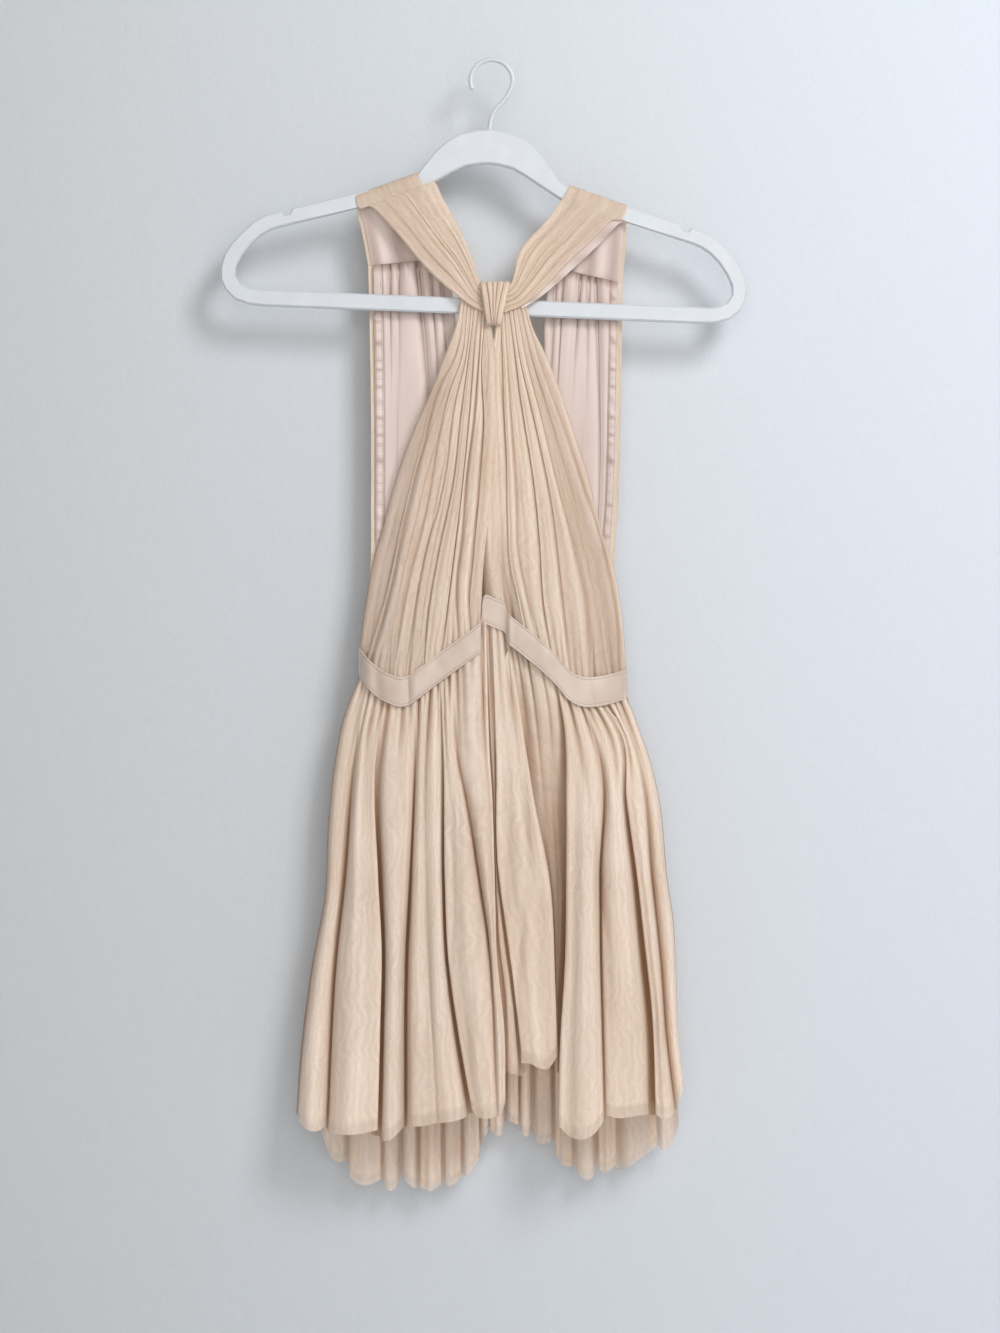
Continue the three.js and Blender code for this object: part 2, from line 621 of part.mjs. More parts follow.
// The back linings lie inside the tulle, and the facings on the linings, along the armholes.
["left", "right"].forEach((side) => {
  const tulle = bodiceBack(side);
  const inwards = (layers) => () => (side === "left" ? -1 : 1) * layers * LAYER_STEP;
  const lining = moved(tulle, inwards(1), BODICE_BACK_ROWS);
  const facing = moved(tulle, inwards(2), BODICE_BACK_ROWS);
  clothWall(`bodice_back_${side}`, TULLE, tulle, sewnBack);
  clothWall(`back_lining_${side}`, SATIN, lining.map((points) => points.slice(1)), sewnBack);
  clothWall(`facing_${side}`, SATIN, facing.slice(0, -3).map((points) => points.slice(1, 4)));
});

// The satin that lines the right strap comes out along its outer edge in front of the arm.
function strapLining() {
  const offsets = [-3.5, 1, 4.5, 7.5];
  const rows = strapGrids.right.slice(8, 13);
  return rows.map((points, i) => {
    const outwards = points[0].clone().sub(points[2]).setY(0).normalize();
    const showing = 1 - 0.6 * smoothstep(i, 2, 4);
    return offsets.map((offset) => {
      const p = points[0].clone().addScaledVector(outwards, offset > 0 ? offset * showing : offset);
      p.y += LAYER_STEP + 0.7;
      return p;
    });
  });
}
clothWall("strap_lining_right", SATIN, strapLining());

export default dress;
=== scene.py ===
import math

import bpy
import numpy as np
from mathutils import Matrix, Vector


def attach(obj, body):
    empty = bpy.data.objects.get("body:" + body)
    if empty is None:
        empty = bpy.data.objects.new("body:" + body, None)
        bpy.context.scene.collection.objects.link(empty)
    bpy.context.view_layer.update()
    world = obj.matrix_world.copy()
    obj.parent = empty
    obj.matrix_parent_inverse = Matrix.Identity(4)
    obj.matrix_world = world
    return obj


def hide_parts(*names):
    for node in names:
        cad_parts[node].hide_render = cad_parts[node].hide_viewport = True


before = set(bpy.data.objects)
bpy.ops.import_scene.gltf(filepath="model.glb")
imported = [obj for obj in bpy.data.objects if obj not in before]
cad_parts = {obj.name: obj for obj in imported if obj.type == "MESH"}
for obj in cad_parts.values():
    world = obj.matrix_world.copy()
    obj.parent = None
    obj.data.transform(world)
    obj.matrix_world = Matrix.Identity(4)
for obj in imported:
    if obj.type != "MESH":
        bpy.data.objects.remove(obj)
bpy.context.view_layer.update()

# Room and camera: a pale plaster wall just behind the dress, seen straight on, and a pale floor below.
# Its light comes from a wide window up on the right and from the pale room behind the viewer, and a
# third lamp beyond the wall lights the dress where it is looked at from behind.
WALL_Y = 0.046
WALL_TOP = 1.2
FLOOR_Z = -1.34
FLOOR_FRONT = -3
ROOM_SIDE = 2.5  # how far the wall and the floor reach to either side
VIEW_CENTRE = (0.0064, 0, -0.5138)
VIEW_DISTANCE = 2.2
VIEW_HEIGHT = 1.133  # height of the view where the dress hangs
SENSOR = 36  # the camera's sensor, in mm along the picture's height


def new_material(name, colour, roughness):
    made = bpy.data.materials.new(name)
    made.use_nodes = True
    shader = made.node_tree.nodes["Principled BSDF"]
    shader.inputs["Base Color"].default_value = (*colour, 1)
    shader.inputs["Roughness"].default_value = roughness
    return made, made.node_tree, shader


def add_node(tree, kind, inputs=None, **settings):
    """A new shader node. A value in inputs is a number, a colour or the output it is fed from."""
    made = tree.nodes.new("ShaderNode" + kind)
    for key, value in settings.items():
        setattr(made, key, value)
    for key, value in (inputs or {}).items():
        if isinstance(value, bpy.types.NodeSocket):
            tree.links.new(value, made.inputs[key])
        else:
            made.inputs[key].default_value = value
    return made


def maths(tree, operation, *values):
    return add_node(tree, "Math", dict(enumerate(values)), operation=operation).outputs[0]


def colour_ramp(tree, factor, *stops):
    made = add_node(tree, "ValToRGB", {"Fac": factor})
    ends = made.color_ramp.elements
    while len(ends) < len(stops):
        ends.new(0.5)
    for end, (place, colour) in zip(ends, stops):
        end.position = place
        end.color = (*colour, 1)
    return made.outputs["Color"]


def noise(tree, place, scale, detail=2, distortion=0):
    """Noise over a surface. Three scales draw it out across, along and through."""
    if isinstance(scale, tuple):
        place = add_node(tree, "Mapping", {"Vector": place, "Scale": scale}).outputs["Vector"]
        scale = 1
    inputs = {"Vector": place, "Scale": scale, "Detail": detail, "Distortion": distortion}
    return add_node(tree, "TexNoise", inputs).outputs["Fac"]


def raise_grain(tree, shader, height, strength, distance):
    relief = add_node(tree, "Bump", {"Height": height, "Strength": strength, "Distance": distance})
    tree.links.new(relief.outputs["Normal"], shader.inputs["Normal"])


def add_object(name, points, faces, finish):
    mesh = bpy.data.meshes.new(name)
    mesh.from_pydata([tuple(map(float, p)) for p in points], [], faces)
    mesh.materials.append(finish)
    made = bpy.data.objects.new(name, mesh)
    bpy.context.scene.collection.objects.link(made)
    return made


def add_light(name, place, aim, size, power, colour):
    data = bpy.data.lights.new(name, "AREA")
    data.shape = "RECTANGLE"
    data.size, data.size_y = size
    data.energy = power
    data.color = colour
    light = bpy.data.objects.new(name, data)
    light.location = place
    light.rotation_euler = (Vector(aim) - Vector(place)).to_track_quat("-Z", "Y").to_euler()
    bpy.context.scene.collection.objects.link(light)


plaster, tree, shader = new_material("plaster", (0.72, 0.77, 0.8), 0.9)
place = add_node(tree, "TexCoord").outputs["Object"]
grain = noise(tree, place, scale=190, detail=4)
swirl = noise(tree, place, scale=28, detail=3, distortion=1.5)
raise_grain(tree, shader, maths(tree, "ADD", grain, swirl), strength=0.18, distance=0.002)
# Painted light and shade: the wall's colour runs from darker and greyer on the left to paler and bluer on
# the right, as the window's light falls across it.
across = add_node(tree, "Mapping", {"Vector": place, "Location": (0.55, 0, 0), "Scale": (0.9, 1, 1)})
across = add_node(tree, "TexGradient", {"Vector": across.outputs["Vector"]}).outputs["Color"]
tint = colour_ramp(tree, across, (0, (0.49, 0.50, 0.50)), (1, (0.6, 0.627, 0.675)))
tree.links.new(tint, shader.inputs["Base Color"])
# Seen from behind, the wall gives way and lets light in, so that the back of the dress can be looked at.
backfacing = add_node(tree, "NewGeometry").outputs["Backfacing"]
seen = add_node(tree, "LightPath").outputs["Is Camera Ray"]
gone = maths(tree, "MULTIPLY", backfacing, seen)
clear = add_node(tree, "BsdfTransparent").outputs[0]
surface = add_node(tree, "MixShader", {0: gone, 1: shader.outputs[0], 2: clear}).outputs[0]
tree.links.new(surface, tree.nodes["Material Output"].inputs["Surface"])
corners = [
    (-ROOM_SIDE, WALL_Y, FLOOR_Z), (ROOM_SIDE, WALL_Y, FLOOR_Z),
    (ROOM_SIDE, WALL_Y, WALL_TOP), (-ROOM_SIDE, WALL_Y, WALL_TOP),
]
wall = add_object("wall", corners, [(0, 1, 2, 3)], plaster)
wall.visible_shadow = False

floor_paint, tree, shader = new_material("floor_paint", (0.74, 0.76, 0.77), 0.7)
place = add_node(tree, "TexCoord").outputs["Object"]
grain = noise(tree, place, scale=40)
tint = colour_ramp(tree, grain, (0, (0.72, 0.74, 0.75)), (1, (0.77, 0.79, 0.8)))
tree.links.new(tint, shader.inputs["Base Color"])
corners = [
    (-ROOM_SIDE, WALL_Y, FLOOR_Z), (-ROOM_SIDE, FLOOR_FRONT, FLOOR_Z),
    (ROOM_SIDE, FLOOR_FRONT, FLOOR_Z), (ROOM_SIDE, WALL_Y, FLOOR_Z),
]
floor = add_object("floor", corners, [(0, 1, 2, 3)], floor_paint)

add_light("window", place=(1.0, -1.8, 0.85), aim=(0, 0, -0.4), size=(0.7, 0.8), power=35,
          colour=(0.955, 0.98, 1.0))
add_light("room", place=(0.3, -2.6, -0.2), aim=(0, 0, -0.5), size=(1.8, 1.8), power=26,
          colour=(1.0, 0.985, 0.965))
add_light("from_behind", place=(0.6, 2.4, 0.3), aim=(0, 0, -0.5), size=(2.0, 2.0), power=20,
          colour=(1.0, 1.0, 1.0))
world = bpy.data.worlds.new("room_air")
world.use_nodes = True
world.node_tree.nodes["Background"].inputs["Color"].default_value = (0.95, 0.975, 1.0, 1)
world.node_tree.nodes["Background"].inputs["Strength"].default_value = 0.36
bpy.context.scene.world = world

camera_data = bpy.data.cameras.new("camera")
camera_data.sensor_width = SENSOR
camera_data.lens = SENSOR * VIEW_DISTANCE / VIEW_HEIGHT
camera = bpy.data.objects.new("camera", camera_data)
camera.location = Vector(VIEW_CENTRE) + Vector((0, -VIEW_DISTANCE, 0))
camera.rotation_euler = (math.pi / 2, 0, 0)
bpy.context.scene.collection.objects.link(camera)
bpy.context.scene.camera = camera
bpy.context.scene.view_settings.view_transform = "Standard"


# Hanger: one slim loop moulded in off-white plastic, with a white coated wire hook
# that stands in a socket in its neck and swivels there.
plastic, tree, shader = new_material("plastic", (0.83, 0.84, 0.85), 0.42)
place = add_node(tree, "TexCoord").outputs["Object"]
grain = noise(tree, place, scale=60)
tint = colour_ramp(tree, grain, (0.3, (0.53, 0.545, 0.565)), (0.8, (0.57, 0.585, 0.605)))
tree.links.new(tint, shader.inputs["Base Color"])
for name in ("hanger_body", "hanger_hook"):
    node_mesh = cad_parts[name].data
    node_mesh.materials.clear()
    node_mesh.materials.append(plastic)


# Front of the skirt: a wide panel of doubled tulle, gathered by hand into the waist ribbon. It hangs in
# a few long, crisp folds, some of which lie over the next one, and its cut edge is left sheer.
WAIST = [  # the ribbon's seam lines: x, y and the heights of its upper and lower edges
    (-113, -0.4, -499, -523), (-111, -9, -501, -525), (-105, -16, -508, -532), (-97, -18, -515, -539),
    (-88, -21, -520, -544), (-79, -22, -523, -547), (-71, -22, -522, -546), (-62, -24, -516, -540),
    (-45, -25, -503, -527), (-27, -26, -490, -514), (-12, -25.6, -479, -503),
    (-10, -25, -477.5, -501.5), (-9, -22.5, -470, -494), (-8.2, -20.6, -459, -483),
    (-6.6, -20, -454.5, -478.5), (2, -20.2, -457, -481), (9.5, -20.8, -460, -484),
    (11.4, -21.6, -463, -487), (12.6, -23, -468, -492), (14.6, -24.6, -471.5, -495.5),
    (18, -24.6, -474, -498), (28, -26, -482, -506), (40, -26, -492, -516), (52, -25, -503, -527),
    (64, -24, -517, -541), (76, -22, -523, -547), (88, -20, -523, -547), (99, -17, -521, -545),
    (109, -11, -518, -542), (114, -0.4, -517, -541),
]
waist_x, waist_y, waist_upper, waist_lower = np.array(WAIST).T
# over: which fold lies on top at the crease, "left", "right" or "" for a plain valley
# tuck: how far the fold on top turns under; starts: how far below the ribbon it is at its full depth
# middle and hem: the crease's y at MIDDLE_SHARE of the way down and at the hem; line: its x and z
SKIRT_CREASES = [
    dict(over="", tuck=0, starts=60, middle=-3, hem=-14,
         line=[(-105, -530), (-112, -559), (-117, -593), (-125, -695), (-132, -763), (-139, -907)]),
    dict(over="left", tuck=6, starts=50, middle=-12, hem=-18,
         line=[(-90, -540), (-98, -593), (-96, -695), (-93, -756), (-94, -823), (-96, -910)]),
    dict(over="", tuck=0, starts=40, middle=-12, hem=-16,
         line=[(-64, -540), (-65, -593), (-69, -695), (-72, -755), (-73, -904)]),
    dict(over="", tuck=0, starts=30, middle=-25, hem=-36,
         line=[(-52, -530), (-56, -593), (-56, -695), (-52, -800), (-46, -902)]),
    dict(over="right", tuck=7, starts=12, middle=-14, hem=-20,
         line=[(-44, -520), (-41, -593), (-40, -695), (-37, -763), (-29, -823), (-17, -893)]),
    dict(over="", tuck=0, starts=14, middle=-21, hem=-38,
         line=[(-33, -512), (-29, -593), (-22, -627), (-11, -695), (-4, -740), (4, -890)]),
    dict(over="left", tuck=8, starts=4, middle=-12, hem=-20,
         line=[(-5, -495), (-2, -593), (0, -627), (2, -695), (4, -763), (10, -823), (11, -884)]),
    dict(over="right", tuck=3, starts=150, middle=-12, hem=-17,
         line=[(0, -490), (3, -593), (5, -695), (11, -741), (17, -786), (24, -850)]),
    dict(over="left", tuck=7, starts=20, middle=-2, hem=-5,
         line=[(15, -495), (28, -582), (35, -627), (48, -695), (53, -786), (55, -846)]),
    dict(over="right", tuck=9, starts=40, middle=-1, hem=-5,
         line=[(55, -530), (61, -570), (62, -627), (62, -695), (61, -763), (57, -831), (55, -900)]),
    dict(over="", tuck=0, starts=20, middle=-16, hem=-32,
         line=[(76, -545), (91, -593), (91, -695), (91, -729), (94, -896)]),
    dict(over="right", tuck=7, starts=30, middle=-13, hem=-18,
         line=[(93, -545), (108, -570), (113, -627), (122, -695), (127, -741), (134, -809), (137, -896)]),
    dict(over="", tuck=0, starts=90, middle=-12, hem=-19,
         line=[(106, -543), (124, -593), (135, -695), (142, -763), (147, -831), (154, -889)]),
]
# from the left side seam to the right one: each fold's y at MIDDLE_SHARE and at the hem, then its hem's
# height at its left edge, one third and two thirds across, and at its right edge
SKIRT_FOLDS = [
    (-8, -27, -893, -906, -909, -905), (-27, -38, -910, -912, -911, -908),
    (-30, -42, -913, -918, -912, -906), (-27, -38, -904, -905, -904, -902),
    (-28, -39, -902, -901, -899, -893), (-29, -40, -892, -898, -898, -896),
    (-33, -42, -896, -895, -891, -884), (-15, -24, -858, -860, -860, -862),
    (-23, -28, -851, -852, -857, -846), (-3, -9, -848, -852, -856, -858),
    (-33, -44, -905, -915, -914, -902), (-30, -39, -896, -898, -895, -895),
    (-25, -33, -895, -898, -897, -892), (-18, -27, -889, -882, -874, -866),
]
SKIRT_LEFT = [
    (-113, -523), (-126, -555), (-134, -593), (-140, -650), (-143, -710), (-153, -763), (-163, -836),
    (-168, -903),
]
SKIRT_RIGHT = [
    (114, -541), (118.5, -550), (125, -568), (134, -593), (142, -627), (149, -695), (154, -729),
    (156, -763), (159, -831), (163, -864),
]
# where the thread draws the cloth in at the ribbon: x, depth and how far down the dent runs
SKIRT_GATHERS = [
    (-109, 2, 30), (-103, 3, 60), (-98, 3.5, 78), (-92, 2.5, 34), (-87, 4, 66), (-81, 2.5, 30),
    (-75, 3.5, 46), (-69, 2.5, 26), (-62, 4, 52), (-57, 2, 24), (-52, 3.5, 70), (-46, 3, 30),
    (-42, 2.5, 60), (-37, 3.5, 30), (-30, 3.5, 44), (-25, 2.5, 70), (-18, 2.5, 26), (-8, 5, 110),
    (-3, 2, 70), (4, 1.6, 90), (10, 2.5, 110), (16, 3, 40), (20, 3.5, 60), (25, 2.5, 30), (30, 4, 80),
    (36, 3, 36), (42, 3.5, 60), (48, 2.5, 30), (53, 3.5, 70), (59, 2.5, 34), (64, 4, 56), (69, 2.5, 30),
    (74, 3.5, 50), (80, 3, 34), (86, 4, 64), (92, 2.5, 30), (97, 3.5, 56), (103, 3, 36), (108, 2.5, 50),
]
MIDDLE_SHARE = 0.42
SIDE_MIDDLES = 3, 4  # y of the left and the right side seam at MIDDLE_SHARE
SIDE_HEM = 6  # and at the hem
SKIRT_ROWS = 100
ROW_SPREAD = 1.1  # above 1, the rows lie closer together near the ribbon
RIBBON_LAP = 5  # how far the cloth reaches up behind the ribbon
SKIRT_BEHIND = 1.5  # how far behind the ribbon's face its folds begin
GATHER_DEPTH = 2.4  # how many times as deep as in the table the thread's dents are
GATHER_HASTE = 1.25  # and how many times sooner they end
GATHER_FORWARD = 1.2  # how far the cloth between them stands forward
SEAM_SHARE = 0.015  # the share of the panel's length where the dents set in
SHEER_EDGE = 9  # width of the single, sheer layer along the cut edge


def ease(value, start, end):
    t = np.clip((np.asarray(value, float) - start) / (end - start), 0, 1)
    return t * t * (3 - 2 * t)


def mix(a, b, share):
    return a + (b - a) * share


def flow(points, at):
    """A smooth curve through (value, level) points, read off at the levels asked for."""
    value, level = np.array(sorted(points, key=lambda p: p[1]), float).T
    slope = np.gradient(value, level)
    at = np.clip(at, level[0], level[-1])
    k = np.clip(np.searchsorted(level, at) - 1, 0, len(level) - 2)
    span = level[k + 1] - level[k]
    t = (at - level[k]) / span
    return (
        value[k] * (2 * t**3 - 3 * t**2 + 1) + value[k + 1] * (3 * t**2 - 2 * t**3)
        + span * (slope[k] * (t**3 - 2 * t**2 + t) + slope[k + 1] * (t**3 - t**2))
    )


def smooth_rows(points, steps):
    """A smooth line through each row of points, cut into steps short lengths between neighbours."""
    before = 2 * points[:, :1] - points[:, 1:2]
    after = 2 * points[:, -1:] - points[:, -2:-1]
    padded = np.concatenate([before, points, after], axis=1)
    p0, p1, p2, p3 = padded[:, :-3], padded[:, 1:-2], padded[:, 2:-1], padded[:, 3:]
    gaps = np.linalg.norm(np.diff(padded[..., :2], axis=1), axis=2, keepdims=True)
    gaps = np.maximum(gaps, 1e-6) ** 0.5
    a, b, c = gaps[:, :-2], gaps[:, 1:-1], gaps[:, 2:]
    leaving = b * ((p1 - p0) / a - (p2 - p0) / (a + b) + (p2 - p1) / b)
    coming = b * ((p2 - p1) / b - (p3 - p1) / (b + c) + (p3 - p2) / c)
    t = (np.arange(steps) / steps)[None, None, :, None]
    p1, p2, leaving, coming = (v[:, :, None] for v in (p1, p2, leaving, coming))
    line = (
        p1 * (2 * t**3 - 3 * t**2 + 1) + p2 * (3 * t**2 - 2 * t**3)
        + leaving * (t**3 - 2 * t**2 + t) + coming * (t**3 - t**2)
    )
    line = line.reshape(len(points), -1, points.shape[2])
    return np.concatenate([line, points[:, -1:]], axis=1)


def fold_rows(at, low, crest, over, tuck, steps=4, ends=None):
    """Cross-sections of folded cloth, one a row: place across, height and lower end of every column.

    at, low and tuck hold each crease's place, height and tuck; crest the heights of the folds between
    them. The first and last creases are the cloth's own edges. ends gives each fold's lower end at its
    left edge, at one and two thirds across and at its right edge.
    """
    width = np.diff(at, axis=1)
    last = at.shape[1] - 1
    ends = ends or [(0, 0, 0, 0)] * last
    line = [(at[:, 0], low[:, 0], ends[0][0])]
    turned_edge = (0.12, 0.18), (0, 0.34), (0.4, 0.56)  # shares of the tuck and of the fold's height
    for k in range(last):
        right_end = ends[k][-1]
        for share, sag in ((0.25, 0.14), (0.5, 0), (0.75, 0.14)):
            beside = low[:, k] if share < 0.5 else low[:, k + 1]
            end = flow(list(zip(ends[k], (0, 1 / 3, 2 / 3, 1))), share)
            line.append((at[:, k] + share * width[:, k], mix(crest[:, k], beside, sag), end))
        if k + 1 == last:
            break
        x, deep, left, right = at[:, k + 1], low[:, k + 1], crest[:, k], crest[:, k + 1]
        next_end = ends[k + 1][0]
        if over[k + 1] == "left":
            turn = np.minimum(tuck[:, k + 1], 0.4 * width[:, k])
            for back, sunk in turned_edge:
                line.append((x - back * turn, mix(left, deep, sunk), right_end))
            line.append((x - turn, mix(left, deep, 0.82), mix(right_end, next_end, 0.4)))
            line.append((x - 0.8 * turn, deep, mix(right_end, next_end, 0.8)))
            line.append((x + 0.04 * width[:, k + 1], mix(right, deep, 0.9), next_end))
        elif over[k + 1] == "right":
            turn = np.minimum(tuck[:, k + 1], 0.4 * width[:, k + 1])
            line.append((x - 0.04 * width[:, k], mix(left, deep, 0.9), right_end))
            line.append((x + 0.8 * turn, deep, mix(right_end, next_end, 0.2)))
            line.append((x + turn, mix(right, deep, 0.82), mix(right_end, next_end, 0.6)))
            for back, sunk in turned_edge[::-1]:
                line.append((x + back * turn, mix(right, deep, sunk), next_end))
        else:
            line.append((x - np.minimum(0.12 * width[:, k], 2), mix(left, deep, 0.5), right_end))
            line.append((x, deep, mix(right_end, next_end, 0.5)))
            line.append((x + np.minimum(0.12 * width[:, k + 1], 2), mix(right, deep, 0.5), next_end))
    line.append((at[:, -1], low[:, -1], ends[-1][-1]))
    level = np.zeros(len(at))
    line = [np.stack(np.broadcast_arrays(*point, level)[:3], axis=-1) for point in line]
    return smooth_rows(np.stack(line, axis=1), steps)


def crease_grid(low, tucks):
    """The tuck of every crease in every row. The cloth's own edges have none."""
    made = np.zeros_like(low)
    made[:, 1:-1] = tucks
    return made


def overs(creases):
    """Which fold lies on top at every crease, with nothing at the cloth's own edges."""
    return ["", *[crease["over"] for crease in creases], ""]


def share_across(x, at):
    return (x - at[:, :1]) / (at[:, -1:] - at[:, :1])


def dents(x, fall, gathers, width=1.6):
    """How deep the thread's dents are at x along the seam and fall below it."""
    depth = 0
    for centre, deepest, reach in gathers:
        fade = np.exp(-((fall / reach) ** 1.6))
        depth = depth + deepest * np.exp(-np.abs(x - centre) / width) * fade
    return depth


def bunched(height, reach, size):
    """How deep each place lies between the cloth beside it: 0 out on a fold and 1 down in a crease."""
    window = np.hanning(2 * reach + 3)[1:-1]
    beside = np.pad(height, ((0, 0), (reach, reach)), mode="edge")
    around = np.array([np.convolve(row, window / window.sum(), "valid") for row in beside])
    return np.clip(0.35 + (height - around) / size, 0, 1)


def closeness(height, *spreads):
    """How deep the cloth lies among its folds, for painted shade in creases: bunched over a few reaches,
    in columns, each with its weight and size.
    """
    return sum(weight * bunched(height, reach, size) for weight, reach, size in spreads)


def hairlines(across, down, count, depth, width, seed):
    """Fine soft creases that run with the folds and fade out at both ends."""
    random = np.random.default_rng(seed)
    made = 0
    for _ in range(count):
        centre, lean = random.uniform(0, 1), random.uniform(-0.05, 0.05)
        middle, length = random.uniform(0.1, 1), random.uniform(0.18, 0.5)
        place = centre + lean * (down - 0.5)
        fade = np.exp(-(((down - middle) / length) ** 4))
        size = random.uniform(0.4, 1) * depth * random.choice([1, 1, -0.7])
        spread = width * random.uniform(0.5, 1.4)
        made = made + size * fade * np.exp(-(((across - place) / spread) ** 2))
    return made


def cloth_object(name, points, finish, **shares):
    """A grid of points in mm as a sheet, with its own lengths as its UV map and shares as attributes."""
    rows, columns = points.shape[:2]
    points = points / 1000
    step = np.linalg.norm(np.diff(points, axis=1), axis=2)
    widest = step[np.argmax(step.sum(axis=1))]
    u = np.concatenate([[0], np.cumsum(widest)])
    fall = np.linalg.norm(np.diff(points, axis=0), axis=2).mean(axis=1)
    v = np.concatenate([[0], np.cumsum(fall)])
    index = np.arange(rows * columns).reshape(rows, columns)
    faces = np.stack([index[:-1, :-1], index[1:, :-1], index[1:, 1:], index[:-1, 1:]], axis=-1)
    made = add_object(name, points.reshape(-1, 3), faces.reshape(-1, 4).tolist(), finish)
    flat = np.stack(np.meshgrid(u, v), axis=-1).reshape(-1, 2)
    layer = made.data.uv_layers.new(name="cloth")
    layer.data.foreach_set("uv", flat[faces.reshape(-1)].reshape(-1))
    for key, share in shares.items():
        values = made.data.attributes.new(key, "FLOAT", "POINT")
        values.data.foreach_set("value", np.broadcast_to(share, (rows, columns)).reshape(-1))
    made.data.shade_smooth()
    return made


def finish_piece(made, node_name):
    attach(made, "root")
    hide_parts(node_name)


def darkened(tree, colour, by):
    """A colour times another one."""
    made = add_node(tree, "MixRGB", {"Fac": 1, "Color1": colour, "Color2": by}, blend_type="MULTIPLY")
    return made.outputs["Color"]


def covered(tree, colour, share, other):
    """A colour with a share of another one laid over it."""
    made = add_node(tree, "MixRGB", {"Fac": share, "Color1": colour, "Color2": (*other, 1)})
    return made.outputs["Color"]


tulle, tree, shader = new_material("tulle", (0.8, 0.62, 0.49), 0.8)
shader.inputs["Sheen Weight"].default_value = 0.08
shader.inputs["Sheen Roughness"].default_value = 0.45
place = add_node(tree, "TexCoord").outputs
cloud = noise(tree, place["Object"], scale=14, detail=4)
tint = colour_ramp(tree, cloud, (0.3, (0.83, 0.675, 0.55)), (0.72, (0.905, 0.765, 0.645)))
# Two layers of fine net drift against each other, which leaves faint watery bands.
drift = noise(tree, place["UV"], scale=26, detail=1)
bands = add_node(tree, "TexWave", {"Vector": place["UV"], "Scale": 42, "Distortion": 12, "Detail": 2})
faint = maths(tree, "MULTIPLY", maths(tree, "MULTIPLY", bands.outputs["Fac"], drift), 0.5)
tint = covered(tree, tint, faint, (0.62, 0.47, 0.37))
# Painted shade and light of fine creases runs down the cloth with its threads, with broader ones among
# them, and the net shows.
fine_crease_shade = noise(tree, place["UV"], scale=(430, 10, 1), detail=4)
tint = darkened(tree, tint, colour_ramp(
    tree, fine_crease_shade, (0.32, (0.955, 0.95, 0.945)), (0.66, (1.015, 1.015, 1.015))
))
broad_crease_shade = noise(tree, place["UV"], scale=(85, 4, 1))
tint = darkened(tree, tint, colour_ramp(
    tree, broad_crease_shade, (0.35, (0.9, 0.885, 0.87)), (0.62, (1.035, 1.035, 1.04))
))
net = noise(tree, place["Object"], scale=620, detail=1)
tint = darkened(tree, tint, colour_ramp(
    tree, net, (0.3, (0.95, 0.945, 0.94)), (0.7, (1.02, 1.02, 1.02))
))
# Painted shade and light: where the cloth is gathered, its colour is darkened and warmed down in the
# creases and lightened out on the folds. Partly this is the deeper colour of layers lying close together,
# and partly it is painted shade.
close = add_node(tree, "Attribute", attribute_name="close").outputs["Fac"]
tint = darkened(tree, tint, colour_ramp(
    tree, close, (0, (1.04, 1.04, 1.05)), (0.35, (0.93, 0.915, 0.9)), (1, (0.4, 0.28, 0.19))
))
tree.links.new(tint, shader.inputs["Base Color"])
# One layer alone lets more of what is behind it through.
edge = add_node(tree, "Attribute", attribute_name="sheer").outputs["Fac"]
tree.links.new(maths(tree, "SUBTRACT", 0.9, maths(tree, "MULTIPLY", edge, 0.22)), shader.inputs["Alpha"])
through = add_node(tree, "BsdfTranslucent", {"Color": (0.88, 0.66, 0.44, 1)}).outputs[0]
surface = add_node(tree, "MixShader", {0: 0.16, 1: shader.outputs[0], 2: through}).outputs[0]
tree.links.new(surface, tree.nodes["Material Output"].inputs["Surface"])

creases = SKIRT_CREASES
ends = [fold[2:] for fold in SKIRT_FOLDS]
lines = [SKIRT_LEFT, *[c["line"] for c in creases], SKIRT_RIGHT]
top_x = np.array([line[0][0] for line in lines], float)
top_z = np.interp(top_x, waist_x, waist_lower) + RIBBON_LAP
between = [min(a[-1], b[0]) for a, b in zip(ends, ends[1:])]
hem_z = np.array([ends[0][0], *between, ends[-1][-1]], float)
down = np.linspace(0, 1, SKIRT_ROWS) ** ROW_SPREAD
level = mix(top_z, hem_z, down[:, None])
at = np.stack([flow(line, level[:, k]) for k, line in enumerate(lines)], axis=1)
waist = np.interp(top_x, waist_x, waist_y) + SKIRT_BEHIND


def by_height(at_top, middle, hem):
    return np.stack([
        flow([(a, 0), (b, MIDDLE_SHARE), (c, 1)], down) for a, b, c in zip(at_top, middle, hem)
    ], axis=1)


middles = [SIDE_MIDDLES[0], *[c["middle"] for c in creases], SIDE_MIDDLES[1]]
low = by_height(waist, middles, [SIDE_HEM, *[c["hem"] for c in creases], SIDE_HEM])
fold_top = np.interp((top_x[:-1] + top_x[1:]) / 2, waist_x, waist_y) + SKIRT_BEHIND
crest = by_height(fold_top, [f[0] for f in SKIRT_FOLDS], [f[1] for f in SKIRT_FOLDS])
fallen = (top_z - level)[:, 1:-1]
strength = ease(fallen / np.array([c["starts"] for c in creases]), 0, 1)
beside = (crest[:, :-1] + crest[:, 1:]) / 2
low[:, 1:-1] = mix(beside, low[:, 1:-1], strength)
tuck = crease_grid(low, strength * np.array([c["tuck"] for c in creases]))
plan = fold_rows(at, low, crest, overs(creases), tuck, ends=ends)
x, y, end = np.moveaxis(plan, -1, 0)
top = np.interp(x[0], waist_x, waist_lower) + RIBBON_LAP
z = mix(top, end, down[:, None])
dented = GATHER_DEPTH * dents(x[0], GATHER_HASTE * (top - z), SKIRT_GATHERS)
y = y + dented * ease(down, 0, SEAM_SHARE)[:, None] - GATHER_FORWARD
share = share_across(x, at)
y = (
    y + hairlines(share, down[:, None], count=60, depth=0.8, width=0.005, seed=5)
    + hairlines(share, down[:, None], count=30, depth=1.5, width=0.015, seed=6)
)
sheer = ease(z - end, SHEER_EDGE, SHEER_EDGE - 1)
